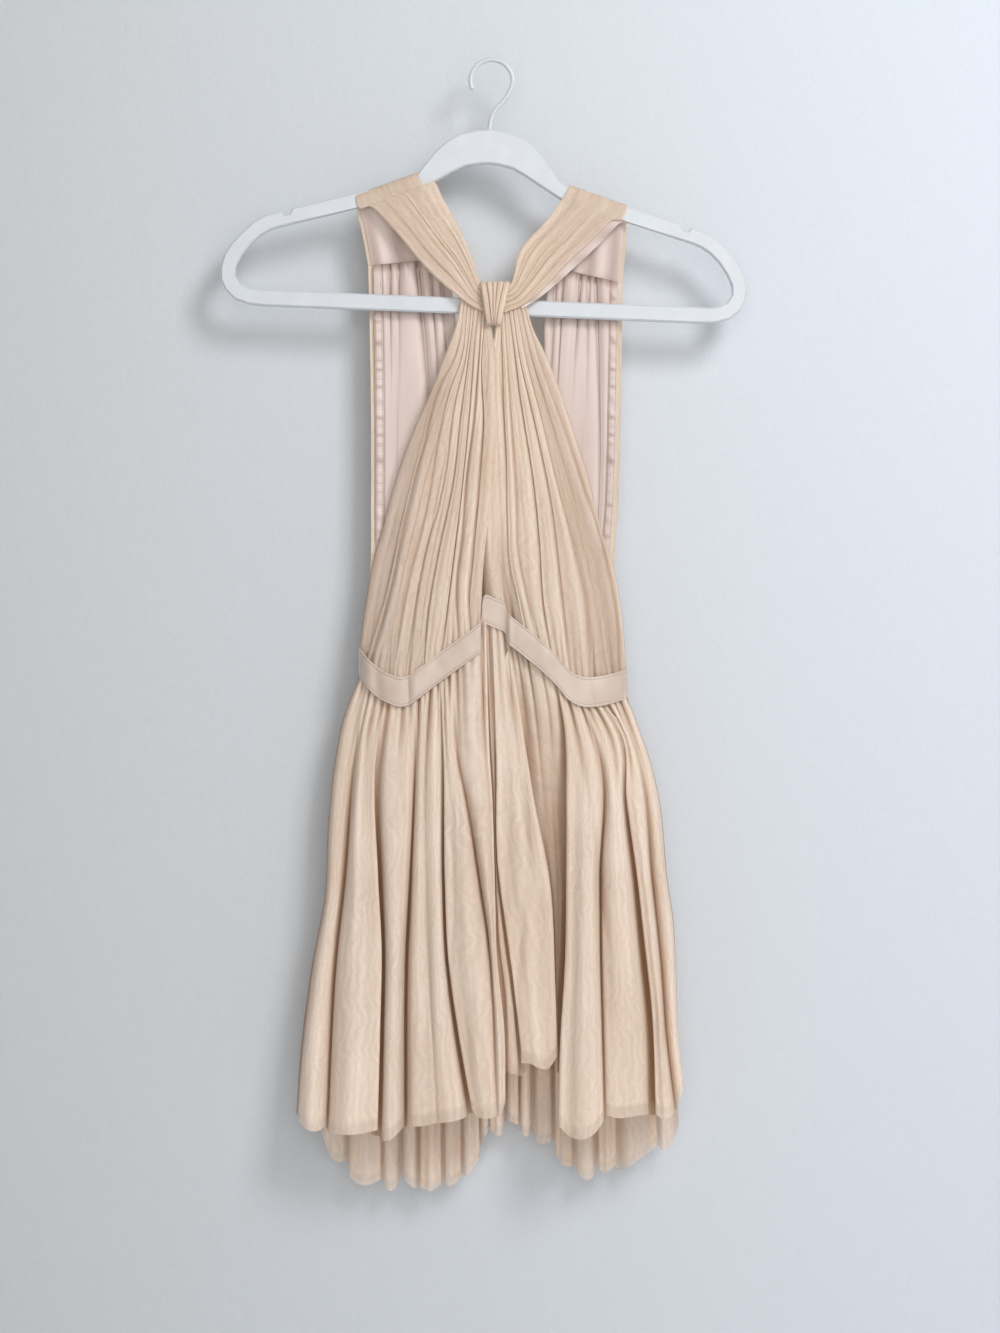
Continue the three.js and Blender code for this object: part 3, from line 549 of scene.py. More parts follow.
# A fold nearer the viewer would look longer than the photograph's, so it is drawn up a little.
z = z + (z / 1000 - VIEW_CENTRE[2]) / VIEW_DISTANCE * y
# Painted shade in the creases and painted light on the folds, from how deep each place lies among them.
close = closeness(y, (0.45, 16, 9), (0.4, 4, 2), (0.45, 60, 20)) - 0.08
points = np.stack([x, y, z], axis=-1)
skirt_front = cloth_object("skirt_front_cloth", points, tulle, sheer=sheer, close=close)
finish_piece(skirt_front, "skirt_front")


# Back of the skirt: a longer panel of the same tulle, gathered into the ribbon's back. Its folds hang
# close to the wall, and its sheer hem shows below the front one, with crisp edges that curl a little.
BACK_CREASES = [  # over and tuck as in front, then where the crease comes to the hem: x and z
    dict(over="right", tuck=5, hem=(-123, -944)), dict(over="left", tuck=7, hem=(-96, -958)),
    dict(over="", tuck=0, hem=(-79, -956)), dict(over="right", tuck=8, hem=(-62, -959)),
    dict(over="left", tuck=6, hem=(-44, -958)), dict(over="left", tuck=7, hem=(-27, -952)),
    dict(over="left", tuck=6, hem=(-11, -932)), dict(over="right", tuck=5, hem=(-2, -912)),
    dict(over="", tuck=0, hem=(11, -908)), dict(over="left", tuck=6, hem=(22, -910)),
    dict(over="", tuck=0, hem=(34, -915)), dict(over="right", tuck=8, hem=(54, -926)),
    dict(over="left", tuck=5, hem=(68, -942)), dict(over="right", tuck=7, hem=(91, -946)),
    dict(over="left", tuck=5, hem=(106, -941)), dict(over="left", tuck=8, hem=(141, -924)),
]
BACK_SIDES = -148, 159  # x of the side seams at the hem
# each fold's hem height, from its left edge to its right edge
BACK_FOLDS = [
    (-901, -932, -938, -939), (-951, -957, -957, -954), (-956, -961, -961, -957),
    (-949, -955, -960, -960), (-959, -962, -961, -957), (-957, -959, -957, -953),
    (-951, -949, -943, -936), (-927, -918, -913, -910), (-911, -914, -915, -911),
    (-901, -902, -904, -906), (-908, -914, -916, -914), (-920, -923, -922, -920),
    (-933, -939, -942, -942), (-944, -950, -953, -945), (-944, -946, -944, -938),
    (-946, -941, -932, -924), (-926, -928, -924, -905),
]
BACK_SEAM = [(-113, 0.4, -499), (-107, 9, -501), (-84, 14, -505), (-45, 16, -508), (0, 17, -509),
             (45, 16, -511), (84, 14, -514), (108, 9, -516), (114, 0.55, -517)]
seam_x, seam_y, seam_z = np.array(BACK_SEAM).T
RIBBON_HEIGHT = 24
BACK_SIDE_Y = 5, 7  # y of the side seams at MIDDLE_SHARE and at the hem
BACK_CREASE_Y = 24, 30
BACK_ROWS = 90
BACK_REACH = 0.25  # the share of the panel's length by which its folds are full

creases = BACK_CREASES
count = len(creases)
random = np.random.default_rng(11)
top_x = np.concatenate([seam_x[:1], np.linspace(-104, 106, count), seam_x[-1:]])
top_x[1:-1] += random.uniform(-3, 3, count)
end_x = np.array([BACK_SIDES[0], *[c["hem"][0] for c in creases], BACK_SIDES[1]], float)
down = np.linspace(0, 1, BACK_ROWS) ** ROW_SPREAD
at = np.stack([
    flow([(a, 0), (mix(a, b, 0.55), 0.3), (mix(a, b, 0.8), 0.6), (b, 1)], down)
    for a, b in zip(top_x, end_x)
], axis=1)
waist = np.interp(top_x, seam_x, seam_y) - 1
low = by_height(waist, *(
    [side, *[crease] * count, side] for side, crease in zip(BACK_SIDE_Y, BACK_CREASE_Y)
))
crest_top = (waist[:-1] + waist[1:]) / 2
crest = by_height(crest_top, random.uniform(9, 14, count + 1), random.uniform(10, 17, count + 1))
full = ease(down, 0, BACK_REACH)[:, None]
crest[:, 1:-1] = mix(waist[1:-2], crest[:, 1:-1], full)
low[:, 1:-1] = mix(waist[1:-1], low[:, 1:-1], full)
tuck = crease_grid(low, ease(down, 0, 0.3)[:, None] * np.array([c["tuck"] for c in creases]))
plan = fold_rows(at, low, crest, overs(creases), tuck, ends=BACK_FOLDS)
x, y, end = np.moveaxis(plan, -1, 0)
top = np.interp(x[0], seam_x, seam_z) - RIBBON_HEIGHT + RIBBON_LAP
z = mix(top, end, down[:, None])
back_gathers = [
    (centre, -random.uniform(1.5, 3.5), random.uniform(25, 70)) for centre in np.linspace(-110, 111, 34)
]
y = y + dents(x[0], top - z, back_gathers) * ease(down, 0, SEAM_SHARE)[:, None]
y = y + hairlines(share_across(x, at), down[:, None], count=60, depth=0.8, width=0.007, seed=8)
# Its painted crease shade follows its creases as seen from behind higher up, and as seen from the front
# below the front's hem, where one thin layer hangs alone.
close = closeness(-y, (0.6, 16, 14), (0.4, 4, 3))
close = mix(close, closeness(y, (0.3, 16, 14)), ease(z, -620, -900))
sheer = ease(z - end, SHEER_EDGE, SHEER_EDGE - 1) + 0.8 * ease(z, -860, -900)
points = np.stack([x, y, z], axis=-1)
skirt_back = cloth_object("skirt_back_cloth", points, tulle, sheer=sheer, close=close)
finish_piece(skirt_back, "skirt_back")


# Front panels: two long triangles of doubled tulle, each gathered into the knot at its narrow end and
# pleated into the waist ribbon at its wide end. The left one laps over the right one at the middle.
# edges and lines: x and z from the knot down; crest: how far each fold stands out; edges_back: how far
# the outer and the inner edge of the left panel, or the inner and the outer one of the right, lie back
PANELS = {
    "left": dict(
        seed=21, edges_back=(1, -2),
        edges=(
            [(-26, -199.8), (-31, -225), (-43, -256), (-53, -282), (-64, -306), (-75, -333),
             (-84, -360), (-95, -400), (-102, -425), (-108, -459), (-111, -480), (-113, -503)],
            [(-3, -215.2), (0.5, -235), (3, -248), (3.5, -300), (2.5, -341), (1, -366), (-3, -390),
             (-6, -413), (-8, -437), (-10, -475)],
        ),
        creases=[
            dict(over="left", tuck=2,
                 line=[(-23.5, -201.3), (-32, -251), (-45, -277), (-58, -324), (-74, -389), (-91, -466),
                       (-104, -506)]),
            dict(over="left", tuck=5,
                 line=[(-21, -203.8), (-27, -254), (-38, -284), (-45, -315), (-58, -389), (-69, -433),
                       (-76, -466), (-84, -517)]),
            dict(over="left", tuck=3,
                 line=[(-18, -206.2), (-23, -254), (-32, -290), (-41, -355), (-46, -378), (-55, -409),
                       (-65, -459), (-74, -518)]),
            dict(over="right", tuck=3,
                 line=[(-15, -208.6), (-20, -254), (-26, -300), (-32, -355), (-45, -419), (-53, -466),
                       (-57, -512)]),
            dict(over="left", tuck=6,
                 line=[(-12, -211), (-15, -237), (-19, -289), (-25, -355), (-35, -439), (-43, -502)]),
            dict(over="", tuck=0,
                 line=[(-9, -213.4), (-12, -260), (-16, -306), (-22, -355), (-26, -407), (-30, -440),
                       (-29, -492)]),
            dict(over="right", tuck=4,
                 line=[(-6, -215.8), (-9, -260), (-7, -306), (-10, -355), (-16, -425), (-19, -459),
                       (-18, -484)]),
        ],
        crest=[0.3, 0.9, 1.4, 1.0, 3.4, 1.6, 3.2, 2.4],
    ),
    "right": dict(
        seed=22, edges_back=(3, 1),
        edges=(
            [(3.2, -215.2), (0, -237), (-4, -250), (-6, -300), (-8, -366), (-10, -420), (-8, -458)],
            [(27, -201), (35, -229), (44, -247), (53, -268), (63, -296), (73, -327), (82, -355),
             (90, -389), (104, -433), (109, -459), (113, -500), (114, -521)],
        ),
        creases=[
            dict(over="right", tuck=4,
                 line=[(7, -215), (9, -260), (10, -299), (12, -341), (13, -389), (15, -430), (20, -452),
                       (27, -485)]),
            dict(over="", tuck=0,
                 line=[(10, -212.6), (13, -260), (16, -310), (20, -370), (22, -419), (28, -450),
                       (38, -494)]),
            dict(over="right", tuck=5,
                 line=[(14, -210.4), (20, -254), (23, -280), (27, -306), (35, -358), (40, -410),
                       (43, -459), (50, -504)]),
            dict(over="right", tuck=5,
                 line=[(17, -208), (24, -256), (32, -290), (41, -330), (50, -375), (58, -442),
                       (67, -522)]),
            dict(over="right", tuck=3,
                 line=[(20, -205.6), (30, -258), (41, -300), (54, -355), (66, -399), (78, -452),
                       (84, -527)]),
            dict(over="left", tuck=3,
                 line=[(22.5, -204.1), (33, -254), (47, -300), (63, -355), (77, -404), (90, -459),
                       (100, -525)]),
            dict(over="right", tuck=2,
                 line=[(25, -202.6), (40, -254), (60, -310), (77, -360), (92, -404), (104, -459),
                       (109, -523)]),
        ],
        crest=[1.6, 2.8, 1.4, 3.2, 1.6, 0.8, 1.2, 0.3],
    ),
}
KNOT_Y = -10.2
INNER_EDGE_Y = -12  # the right panel's inner edge stays back, behind the ribbon's pleat
PANEL_LAP = 4  # how far the panels reach down behind the ribbon
PANEL_BEHIND = 1.2  # how far behind the ribbon's seam line they meet it
PANEL_ROWS = 110
CREASE_BACK = 0.7  # how far back the creases lie

for side, panel in PANELS.items():
    lines = [panel["edges"][0], *[c["line"] for c in panel["creases"]], panel["edges"][1]]
    top_z = np.array([line[0][1] for line in lines], float)
    low_x = np.array([line[-1][0] for line in lines], float)
    low_z = np.interp(low_x, waist_x, waist_upper) - PANEL_LAP
    down = np.linspace(0, 1, PANEL_ROWS)
    level = mix(top_z, low_z, down[:, None])
    at = np.stack([flow(line, level[:, k]) for k, line in enumerate(lines)], axis=1)
    at = np.maximum.accumulate(at, axis=1)
    base = mix(KNOT_Y, np.interp(low_x, waist_x, waist_y) + PANEL_BEHIND, ease(down, 0, 1)[:, None])
    if side == "right":
        base[:, 0] = mix(base[:, 0], INNER_EDGE_Y, ease(down, 0.5, 1))
    # The folds are flatter where the knot and the ribbon's seam hold them.
    fullness = mix(0.5, 1, ease(down, 0, 0.25)) * mix(1, 0.45, ease(down, 0.86, 1))
    stands = np.array(panel["crest"]) * fullness[:, None]
    crest = (base[:, :-1] + base[:, 1:]) / 2 - stands
    low = base + CREASE_BACK * fullness[:, None]
    low[:, 0] = base[:, 0] + panel["edges_back"][0]
    low[:, -1] = base[:, -1] + panel["edges_back"][1]
    tuck = crease_grid(low, np.array([c["tuck"] for c in panel["creases"]]) * fullness[:, None])
    plan = fold_rows(at, low, crest, overs(panel["creases"]), tuck, steps=5)
    x, y = plan[..., 0], plan[..., 1]
    z = np.stack([np.interp(row, a, b) for row, a, b in zip(x, at, level)])
    share = share_across(x, at)
    y = y + hairlines(share, down[:, None], count=34, depth=0.42, width=0.012, seed=panel["seed"])
    depths = np.tile(np.random.default_rng(3).uniform(0.5, 2.2, 30), 2)
    pleats = [(centre, deep, 12 + 9 * deep) for centre, deep in zip(np.linspace(-112, 113, 44), depths)]
    y = y + dents(x[-1], z - z[-1], pleats)
    # Painted shade in the pleats' creases and painted light on their folds.
    close = 0.08 + closeness(y, (0.55, 12, 2.6), (0.45, 4, 1))
    # Towards the armhole a single layer lies flat, and what is behind it shows.
    outer = share if side == "left" else 1 - share
    sheer = 1.7 * (1 - ease(outer, 0.05, 0.42)) * ease(down, 0.05, 0.3)[:, None]
    points = np.stack([x, y, z], axis=-1)
    made = cloth_object(f"bodice_front_{side}_cloth", points, tulle, sheer=sheer, close=close)
    finish_piece(made, f"bodice_front_{side}")


# Waist ribbon: a band of soft satin stitched over both seams, from the side seam round the front and
# back. At the centre front it folds into an inverted pleat, and its edges are turned and stitched.
satin, tree, shader = new_material("satin", (0.66, 0.5, 0.42), 0.38)
shader.inputs["Sheen Weight"].default_value = 0.3
place = add_node(tree, "TexCoord").outputs["UV"]
rib = noise(tree, place, scale=(30, 900, 1))
raise_grain(tree, shader, rib, strength=0.12, distance=0.0006)
cloud = noise(tree, place, scale=14)
tint = colour_ramp(tree, cloud, (0.3, (0.545, 0.43, 0.385)), (0.75, (0.61, 0.50, 0.455)))
# Painted shade and light: the satin is darkened down in its creases and puckers and lightened out on
# their crests.
close = add_node(tree, "Attribute", attribute_name="close").outputs["Fac"]
tint = darkened(tree, tint, colour_ramp(
    tree, close,
    (0, (1.1, 1.1, 1.1)), (0.35, (1, 1, 1)), (0.6, (0.78, 0.72, 0.69)), (1, (0.42, 0.33, 0.29)),
))
# Rows of machine stitches: dashes of dark thread along a line, with fainter painted shade for the groove
# between them.
STITCHES = 380  # to the metre
THREAD_HALF = 0.0005
stitching = bpy.data.node_groups.new("stitching", "ShaderNodeTree")
for key in ("Across", "Along", "Row"):
    stitching.interface.new_socket(key, in_out="INPUT", socket_type="NodeSocketFloat")
stitching.interface.new_socket("Thread", in_out="OUTPUT", socket_type="NodeSocketFloat")
given = stitching.nodes.new("NodeGroupInput")
away = maths(stitching, "SUBTRACT", given.outputs["Across"], given.outputs["Row"])
away = maths(stitching, "ABSOLUTE", away)
dash = maths(stitching, "FRACT", maths(stitching, "MULTIPLY", given.outputs["Along"], STITCHES))
dash = maths(stitching, "MULTIPLY", maths(stitching, "LESS_THAN", dash, 0.6), 0.5)
dash = maths(stitching, "ADD", dash, 0.5)
thread = maths(stitching, "MULTIPLY", maths(stitching, "LESS_THAN", away, THREAD_HALF), dash)
stitching.links.new(thread, stitching.nodes.new("NodeGroupOutput").inputs["Thread"])


def stitched(tree, colour, across, along, row, share, thread_colour):
    """A colour with a row of stitches on it, where across is as far from the edge as row says."""
    line = {"Across": across, "Along": along, "Row": row}
    thread = add_node(tree, "Group", line, node_tree=stitching).outputs["Thread"]
    return covered(tree, colour, maths(tree, "MULTIPLY", thread, share), thread_colour)


across = add_node(tree, "Attribute", attribute_name="seam").outputs["Fac"]
along = add_node(tree, "SeparateXYZ", {"Vector": place}).outputs["Y"]
tint = stitched(tree, tint, across, along, row=0.001, share=0.65, thread_colour=(0.33, 0.21, 0.17))
tree.links.new(tint, shader.inputs["Base Color"])

ribbon_satin, tree, shader = new_material("ribbon_satin", (0.7, 0.52, 0.41), 0.36)
shader.inputs["Sheen Weight"].default_value = 0.3
place = add_node(tree, "TexCoord").outputs["UV"]
slant = add_node(tree, "Mapping", {"Vector": place, "Rotation": (0, 0, 0.5)}).outputs["Vector"]
rib = add_node(tree, "TexWave", {"Vector": slant, "Scale": 190, "Distortion": 0.6}).outputs["Fac"]
raise_grain(tree, shader, rib, strength=0.15, distance=0.0004)
# Its colour varies in soft patches, partly the satin's own uneven tone and partly painted sheen.
cloud = noise(tree, place, scale=20)
tint = colour_ramp(tree, cloud, (0.3, (0.48, 0.365, 0.295)), (0.72, (0.61, 0.495, 0.42)))
parts = add_node(tree, "SeparateXYZ", {"Vector": place}).outputs
for row in (0.0033, 0.0242):  # metres from the ribbon's edge
    tint = stitched(tree, tint, parts["Y"], parts["X"], row, share=0.55, thread_colour=(0.36, 0.25, 0.18))
tree.links.new(tint, shader.inputs["Base Color"])

front_line = smooth_rows(np.array([[(x, y, upper) for x, y, upper, _ in WAIST]], float), 14)[0]
back_line = smooth_rows(np.array([BACK_SEAM], float), 16)[0][::-1]
round_waist = np.concatenate([front_line, back_line[1:-1]])
WAIST_MIDDLE_Y = 4
outward = (round_waist - [0, WAIST_MIDDLE_Y, 0]) * [0.15, 1, 0]
outward /= np.linalg.norm(outward, axis=1, keepdims=True)
# height and how far the ribbon stands out there: turned edges, stitched grooves and a soft belly
PROFILE = [
    (0.7, -0.6), (0.6, 0.2), (0.1, 0.45), (-1.2, 0.5), (-1.7, 0.3), (-2.4, 0.5), (-9, 0.8), (-15, 0.8),
    (-21.8, 0.5), (-22.5, 0.3), (-23, 0.5), (-24, 0.45), (-24.5, 0.2), (-24.6, -0.6),
]
rows = smooth_rows(np.array([PROFILE], float), 3)[0]
RIBBON_WRINKLES = [  # x, depth, width and slant of the soft dents across the ribbon
    (-98, 0.5, 4, 0.1), (-84, 0.4, 5, -0.2), (-71.5, 1.3, 1.8, 0.05), (-66, -0.6, 3, 0.05),
    (-50, 0.5, 4, 0.5), (-34, 0.4, 5, 0.4), (-20, 0.4, 4, 0.3), (30, 0.5, 4, -0.3), (42, 0.9, 3, -0.5),
    (50, -0.6, 3, -0.5), (58, 0.7, 3, -0.4), (72, 0.5, 4, 0.1), (84, 0.9, 2.4, 0.2), (96, 0.4, 4, 0.3),
]
in_front = round_waist[:, 1] < 2


def wrinkled(drop):
    """How deep the wrinkles are all along the ribbon, at a height below its upper edge."""
    depth = sum(
        deep * np.exp(-(((round_waist[:, 0] + slant * drop - x) / width) ** 2))
        for x, deep, width, slant in RIBBON_WRINKLES
    )
    return depth * in_front * math.sin(math.pi * min(1, max(0, -drop / RIBBON_HEIGHT))) ** 0.5


grid = np.stack([
    round_waist + outward * (proud - wrinkled(drop)[:, None]) + [0, 0, drop] for drop, proud in rows
])
grid = np.concatenate([grid, grid[:, :1]], axis=1)
waist_band = cloth_object("waist_band_cloth", grid, ribbon_satin)
finish_piece(
    waist_band, "waist_band"
)


# Straps: each is a strip of doubled tulle, lined with satin at the back. It comes up from the back's
# shoulder seam, turns over the hanger's arm and narrows in a few long pleats towards the knot.
ARM_Z = [(-118, -121.5), (-90, -112.5), (-62, -103)], [(62, -108.5), (90, -120), (118, -131.5)]
STRAPS = {  # outer x and z, inner x and z, y, and 1 where z is a height over the hanger's arm
    "left": [
        (-106, -172, -39, -166, 8.9, 0), (-112, -140, -45, -132, 7.2, 0), (-115.5, -4, -62, -4, 5.6, 1),
        (-116, 3, -63, 4, 5.2, 1), (-116, 7.4, -63, 8.4, 2.8, 1), (-116, 7.4, -63, 8.4, -2.8, 1),
        (-115.5, 3, -62, 4, -5.4, 1), (-113, -5, -58, -2, -6, 1), (-103, -124, -49, -103, -6, 0),
        (-84, -143, -42, -117, -7, 0), (-57, -176, -33, -133, -9, 0), (-39, -193, -25.5, -148, -11.2, 0),
        (-29, -201, -16.5, -170, -13, 0), (-20, -208, -11, -187, -13.5, 0),
        (-7.5, -214.5, -5, -195, -13.5, 0),
    ],
    "right": [
        (111, -187, 49, -173, 8.9, 0), (113.5, -155, 53, -140, 7.2, 0), (114, -5, 65, -6, 5.6, 1),
        (114, 2.4, 65, 0.8, 5, 1), (114, 7, 65, 4.4, 2.8, 1), (114, 7, 65, 4.4, -2.8, 1),
        (113.5, 2.4, 64, 0.8, -5.2, 1), (110, -6, 61, -6, -6, 1), (101, -136, 54, -125, -6, 0),
        (84, -153, 42, -140, -7, 0), (66, -170, 28, -155, -9, 0), (52, -185, 21, -168, -11.2, 0),
        (37, -200, 19, -179, -13, 0), (24, -209.5, 16.5, -188.5, -13.5, 0), (10, -215, 8, -195, -13.5, 0),
    ],
}
# the pleats' creases: which side lies on top, and their shares of the strap's width from its outer edge,
# at the shoulder seam, on the arm, midway and at the knot
STRAP_CREASES = {
    "left": [
        ("left", (0.12, 0.17, 0.2, 0.2)), ("", (0.3, 0.36, 0.42, 0.38)),
        ("right", (0.5, 0.5, 0.52, 0.52)), ("left", (0.82, 0.8, 0.78, 0.74)),
    ],
    "right": [
        ("", (0.14, 0.1, 0.2, 0.2)), ("right", (0.3, 0.42, 0.42, 0.4)),
        ("left", (0.6, 0.62, 0.6, 0.58)), ("right", (0.76, 0.84, 0.8, 0.76)),
    ],
}
STRAP_STATIONS = (0, 0.3, 0.66, 1)
STRAP_TUCK = 3.5  # how far a pleat's top turns under
LINED_ROWS = 28  # the satin behind reaches from the shoulder seam to just over the arm
LINED_COLUMNS = 40
LAYER_GAP = 0.9  # between the strap's satin and its tulle

for side, rows in STRAPS.items():
    arm_x, arm_z = np.array(ARM_Z[0 if side == "left" else 1]).T
    rows = np.array(rows, float)
    on_arm = rows[:, 5]
    outer_z = rows[:, 1] + on_arm * np.interp(rows[:, 0], arm_x, arm_z)
    inner_z = rows[:, 3] + on_arm * np.interp(rows[:, 2], arm_x, arm_z)
    outer = np.stack([rows[:, 0], rows[:, 4], outer_z], axis=-1)
    inner = np.stack([rows[:, 2], rows[:, 4], inner_z], axis=-1)
    outer = smooth_rows(outer[None], 7)[0]
    inner = smooth_rows(inner[None], 7)[0]
    span = np.linalg.norm(inner - outer, axis=1)
    across = (inner - outer) / span[:, None]
    onward = np.gradient((inner + outer) / 2, axis=0)
    outward = np.cross(onward, across) * (1 if side == "left" else -1)
    outward /= np.linalg.norm(outward, axis=1, keepdims=True)
    along = np.linspace(0, 1, len(outer))
    creases = [dict(over=over, places=places) for over, places in STRAP_CREASES[side]]
    shares = [flow(list(zip(c["places"], STRAP_STATIONS)), along) for c in creases]
    shares = np.stack([np.zeros_like(along), *shares, np.ones_like(along)], axis=1)
    at = shares * span[:, None]
    width = np.diff(at, axis=1)
    # The strap lies flat over the arm, and its pleats deepen towards the knot.
    fullness = mix(0.18, 1, ease(along, 0.52, 0.8))[:, None]
    crest = -np.clip(0.12 * width, 0, 1.8) * fullness
    low = np.full_like(at, 0.3) * fullness
    tuck = np.full_like(at, STRAP_TUCK) * fullness
    plan = fold_rows(at, low, crest, overs(creases), tuck, steps=5)
    share = plan[..., 0] / span[:, None]
    fine = hairlines(share, along[:, None], count=16, depth=0.6, width=0.03, seed=31)
    height = plan[..., 1] + fine * fullness
    points = outer[:, None] + across[:, None] * plan[..., :1] - outward[:, None] * height[..., None]
    # Painted shade in the pleats' creases and painted light on their folds.
    close = 0.22 + closeness(height, (0.45, 10, 2.4), (0.3, 3, 0.8))
    made = cloth_object(f"strap_{side}_cloth", points, tulle, close=close)

    lined = slice(0, LINED_ROWS)
    places = np.linspace(0.05, 0.97, LINED_COLUMNS)[None, :, None]
    lining = (outer - LAYER_GAP * outward)[lined, None] + (across * span[:, None])[lined, None] * places
    pucker = 0.8 * np.sin(np.linspace(0, 19, LINED_COLUMNS))
    pucker = pucker * ease(np.arange(LINED_ROWS), LINED_ROWS, 0)[:, None]
    lining = lining - outward[lined, None] * pucker[..., None]
    # Painted shade and light on the lining's puckers.
    inside = cloth_object("strap_lining", lining, satin, close=0.35 + 0.4 * pucker)
    bpy.ops.object.select_all(action="DESELECT")
    inside.select_set(True)
    made.select_set(True)
    bpy.context.view_layer.objects.active = made
    bpy.ops.object.join()
    finish_piece(made, f"strap_{side}")
    if side == "right":
        right_strap = outer, across, outward


# Lining of the right strap: a strip of the same satin as the linings behind, sewn inside the strap. It
# comes out along the strap's outer edge in front of the arm, with a row of stitches along its own edge.
FIRST_ROW, LAST_ROW = 50, 92  # of the strap's grid, from below the arm to the knot
LINING_REACH = 7.5
LINING_UNDER = 3.5  # how far the strip reaches in under the strap
outer, across, outward = right_strap
row = np.arange(FIRST_ROW, LAST_ROW)
shown = slice(FIRST_ROW, LAST_ROW)
inwards = np.linspace(0, 1, 12)[None]
reach = LINING_REACH * (1 - 0.72 * ease(row, 66, LAST_ROW))  # narrower towards the knot
offset = np.linspace(-1, 0, 12)[None] * reach[:, None] + np.linspace(0, LINING_UNDER, 12)[None]
wave = 0.7 * np.sin(row * 0.75)[:, None] * inwards[:, ::-1]
points = outer[shown, None] + across[shown, None] * offset[..., None]
points = points - outward[shown, None] * (1.5 + wave[..., None])
seam = inwards[:, ::-1] * reach[:, None] / 1000
# Painted shade on the lining's waves.
strap_lining = cloth_object("strap_lining_right_cloth", points, satin, seam=seam, close=0.5 + 0.3 * wave)
finish_piece(strap_lining, "strap_lining_right")


# Knot loop: a short band of doubled tulle wrapped round both straps and sewn behind. It is wider above
# than below, and its pleats run round it and draw together at the bottom.
LOOP_TOP = -190
LOOP_BOTTOM = -224.8
LOOP_Y = -13.5
LOOP_DEPTH = 15
LOOP_MIDDLE = (2, 1)  # x above and below
LOOP_HALF = (12.9, 6.4)  # half its width above and below
LOOP_ROUNDING = 0.66  # 1 would make the loop's section an ellipse, and less squares it off
LOOP_TUCK = 1.6  # how far a pleat's top turns under
# over as for the skirt, then the crease's share of the width above and below
LOOP_CREASES = [
    dict(over="left", above=0.2, below=0.34), dict(over="", above=0.42, below=0.46),
    dict(over="right", above=0.6, below=0.55), dict(over="right", above=0.82, below=0.68),
]


def rounded(value):
    return np.sign(value) * np.abs(value) ** LOOP_ROUNDING


turn = np.linspace(0, 2 * math.pi, 73)
ring_z = (LOOP_TOP + LOOP_BOTTOM) / 2 + (LOOP_TOP - LOOP_BOTTOM) / 2 * rounded(np.sin(turn))
ring_y = LOOP_Y + (LOOP_DEPTH / 2 - 1) * rounded(np.cos(turn))
ring = np.stack([0 * turn, ring_y, ring_z], axis=-1)
heading = np.roll(ring[:-1], -1, axis=0) - np.roll(ring[:-1], 1, axis=0)
heading = np.concatenate([heading, heading[:1]])
outward = np.stack([0 * turn, heading[:, 2], -heading[:, 1]], axis=-1)
outward /= np.linalg.norm(outward, axis=1, keepdims=True)
fallen = np.clip((LOOP_TOP - ring_z) / (LOOP_TOP - LOOP_BOTTOM), 0, 1)
half = mix(*LOOP_HALF, fallen)
shares = [mix(c["above"], c["below"], fallen) for c in LOOP_CREASES]
shares = np.stack([0 * turn, *shares, 0 * turn + 1], axis=1)
at = shares * 2 * half[:, None]
crest = -0.9 - 0.14 * np.diff(at, axis=1)
low = np.full_like(at, 0.5)
tuck = np.full_like(at, LOOP_TUCK)
plan = fold_rows(at, low, crest, overs(LOOP_CREASES), tuck)
start = ring + np.stack([mix(*LOOP_MIDDLE, fallen) - half, 0 * turn, 0 * turn], axis=-1)
points = start[:, None] + plan[..., :1] * [1, 0, 0] - outward[:, None] * plan[..., 1:2]
# Painted shade in the loop's creases and painted light on its folds.
close = bunched(plan[..., 1], 6, 2.4)
knot_loop = cloth_object("knot_loop_cloth", points, tulle, close=close)
finish_piece(knot_loop, "knot_loop")


# Back of the bodice: two panels of tulle from the shoulder seams down to the ribbon, each with a satin
# lining inside it, gathered into the shoulder seam, and a narrow satin facing along the armhole.
BACK_EDGES = {  # x, y and z down each side of a panel
    "left": (
        [(-106, 9, -172), (-104, 9, -270), (-103.5, 6, -380), (-104, 3.6, -430), (-109, 1.8, -470),
         (-113, 0.4, -502)],
        [(-39, 9, -166), (-32, 10, -213), (-30, 11.5, -290), (-14, 14, -420), (-3, 16.9, -511)],
    ),
    "right": (
        [(111, 9, -187), (110, 9, -270), (107, 6, -380), (104, 3.6, -425), (109, 1.8, -480),
         (114, 0.4, -520)],
        [(49, 9, -173), (45, 10, -213), (44, 11.5, -290), (18, 14, -420), (3, 16.9, -511)],
    ),
}
LINING_INSET = 4.5  # how far in from the armhole's edge the lining begins
LAYER = 1.5  # from the tulle to the lining, and from there to the facing
LINING_BACK = 1.4  # how deep a lining's creases go, which keeps them in front of the tulle
LINING_LIMIT = 1.35  # the same once the thread's gathers are added
FACING_ROWS = 64
FACING_WIDTH = 7
FACING_LAP = 0.4  # how far it lies over the lining's edge
BODICE_ROWS = 90
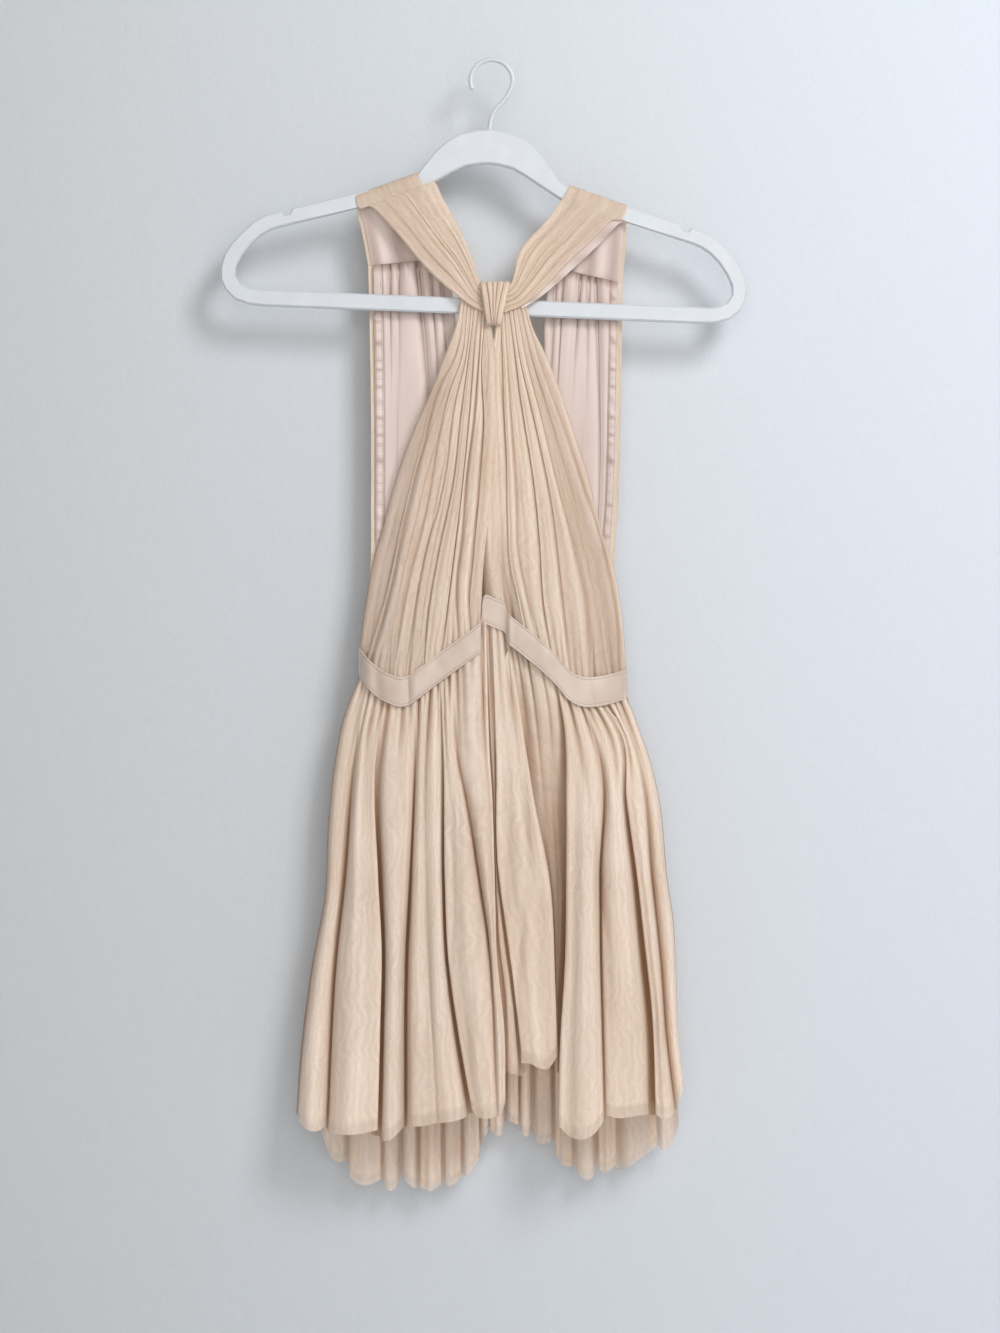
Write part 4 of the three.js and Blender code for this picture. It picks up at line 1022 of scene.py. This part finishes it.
# which side lies on top at a lining's crease, its distances from the armhole's edge at the seam, a third
# down and at the ribbon, and how deep it is there, as a share of LINING_BACK
LINING_STATIONS = (0, 0.3, 1)
LINING_CREASES = {
    "left": [
        dict(over="", places=(11.5, 11, 11), depths=(0.6, 0.5, 0.4)),
        dict(over="left", places=(18, 17, 16), depths=(0.9, 0.2, 0.1)),
        dict(over="", places=(26, 24, 20), depths=(0.8, 0.1, 0.05)),
        dict(over="right", places=(42, 50, 52), depths=(1, 1, 0.2)),
        dict(over="left", places=(52, 57, 60), depths=(0.9, 0.4, 0.1)),
        dict(over="right", places=(61, 67, 84), depths=(1, 0.7, 0.2)),
    ],
    "right": [
        dict(over="", places=(10.5, 10.5, 10.5), depths=(0.6, 0.5, 0.4)),
        dict(over="left", places=(23, 18, 16), depths=(1, 0.9, 0.1)),
        dict(over="", places=(29, 30, 34), depths=(0.9, 0.1, 0.05)),
        dict(over="right", places=(36, 42, 50), depths=(0.9, 0.2, 0.1)),
        dict(over="left", places=(50, 54, 66), depths=(0.7, 0.5, 0.2)),
        dict(over="", places=(57, 61, 84), depths=(0.8, 0.6, 0.2)),
    ],
}
# the tulle's folds: which side lies on top, and its creases' shares of the width
TULLE_BACK_OVER = ["", "left", "", "right", "", "left", ""]
TULLE_BACK_SHARES = (0, 0.14, 0.3, 0.47, 0.63, 0.8, 1)

for side, (outer, inner) in BACK_EDGES.items():
    inwards = 1 if side == "left" else -1
    down = np.linspace(0, 1, BODICE_ROWS)
    outer_z, inner_z = (mix(edge[0][2], edge[-1][2], down) for edge in (outer, inner))
    outer_x, outer_y = (flow([(p[i], p[2]) for p in outer], outer_z) for i in (0, 1))
    inner_x, inner_y = (flow([(p[i], p[2]) for p in inner], inner_z) for i in (0, 1))
    span = np.abs(inner_x - outer_x)

    def back_cloth(plan, back):
        """A plan laid out between the panel's two edges, and so far towards the wall."""
        share = plan[..., 0] / span[:, None]
        x = outer_x[:, None] + inwards * plan[..., 0]
        y = mix(outer_y[:, None], inner_y[:, None], share) + back + plan[..., 1]
        z = mix(outer_z[:, None], inner_z[:, None], share)
        bow = 2.2 * np.sin(math.pi * np.clip(1.25 * share, 0, 1)) * np.sin(math.pi * down)[:, None]
        return np.stack([x, y + bow, z], axis=-1)

    creases = LINING_CREASES[side]
    at = [np.full_like(down, LINING_INSET)]
    depth = [np.full_like(down, 0.1)]
    for crease in creases:
        place = flow(list(zip(crease["places"], LINING_STATIONS)), down)
        at.append(np.clip(place, LINING_INSET + 1, span - 2))
        depth.append(flow(list(zip(crease["depths"], LINING_STATIONS)), down))
    at = np.stack([*at, span], axis=1)
    depth = np.stack([*depth, np.full_like(down, 0.3)], axis=1)
    folded = 0.15 + 0.85 * (depth[:, 1:] + depth[:, :-1]) / 2
    crest = -np.clip(0.1 * np.diff(at, axis=1), 0.3, 1.6) * folded
    beside = np.concatenate([crest[:, :1], (crest[:, 1:] + crest[:, :-1]) / 2, crest[:, -1:]], axis=1)
    low = mix(beside, LINING_BACK, depth)
    plan = fold_rows(at, low, crest, overs(creases), tuck=5 * depth, steps=7)
    seam_gathers = [
        (c["places"][0], 4.5 * c["depths"][0], 20 + 60 * c["depths"][1]) for c in creases[1:]
    ]
    seam_gathers += [(at_seam, 1.2, 9) for at_seam in np.linspace(14, 64, 11)]
    drop = (outer_z[0] - outer_z)[:, None]
    gathered = dents(plan[:1, :, 0], drop, seam_gathers, width=2.6) * ease(down, 0, 0.02)[:, None]
    plan[..., 1] = np.minimum(plan[..., 1] + gathered - 2 * np.exp(-drop / 60), LINING_LIMIT)
    # Painted shade in the lining's creases, with a band of painted shade along the shoulder seam.
    close = closeness(plan[..., 1], (0.6, 14, 1.8), (0.5, 4, 0.9))
    close = close + 0.6 * (1 - ease(down, 0, 0.022))[:, None]
    lining = cloth_object(f"back_lining_{side}_cloth", back_cloth(plan, -LAYER), satin, close=close)
    finish_piece(lining, f"back_lining_{side}")

    at = np.stack([span * share for share in TULLE_BACK_SHARES], axis=1)
    crest = 0.6 + 0.05 * np.diff(at, axis=1) * np.sin(math.pi * down)[:, None]
    low, tuck = np.full_like(at, 0.2), np.full_like(at, 2)
    plan = fold_rows(at, low, crest, TULLE_BACK_OVER, tuck, steps=5)
    # Painted shade in the creases and painted light on the folds.
    close = bunched(-plan[..., 1], 10, 3)
    tulle_back = cloth_object(f"bodice_back_{side}_cloth", back_cloth(plan, 0), tulle, close=close)
    finish_piece(tulle_back, f"bodice_back_{side}")

    # Its stitches draw the facing up a little, so it puckers between them, with painted shade and light
    # on the puckers.
    rows = slice(0, FACING_ROWS)
    facing_start = LINING_INSET - FACING_LAP
    columns = np.linspace(facing_start, LINING_INSET + FACING_WIDTH - FACING_LAP, 15)
    plan = np.stack(np.broadcast_arrays(columns[None], 0 * down[:, None]), axis=-1)
    points = back_cloth(plan, -2 * LAYER)
    swell = np.sin(np.linspace(0, math.pi, 15)) ** 0.5
    z = points[..., 2]
    pucker = 0.4 * np.sin(z * 1.05 + 2 * np.sin(z * 0.13)) * (1 + 0.6 * np.sin(z * 0.31))
    points[..., 1] -= (0.7 + pucker) * swell - 0.6
    close = (0.35 + 0.7 * pucker * swell)[rows]
    seam = np.minimum(columns - columns[0], columns[-1] - columns)[None] / 1000
    facing = cloth_object(f"facing_{side}_cloth", points[rows], satin, close=close, seam=seam)
    finish_piece(
        facing, f"facing_{side}"
    )
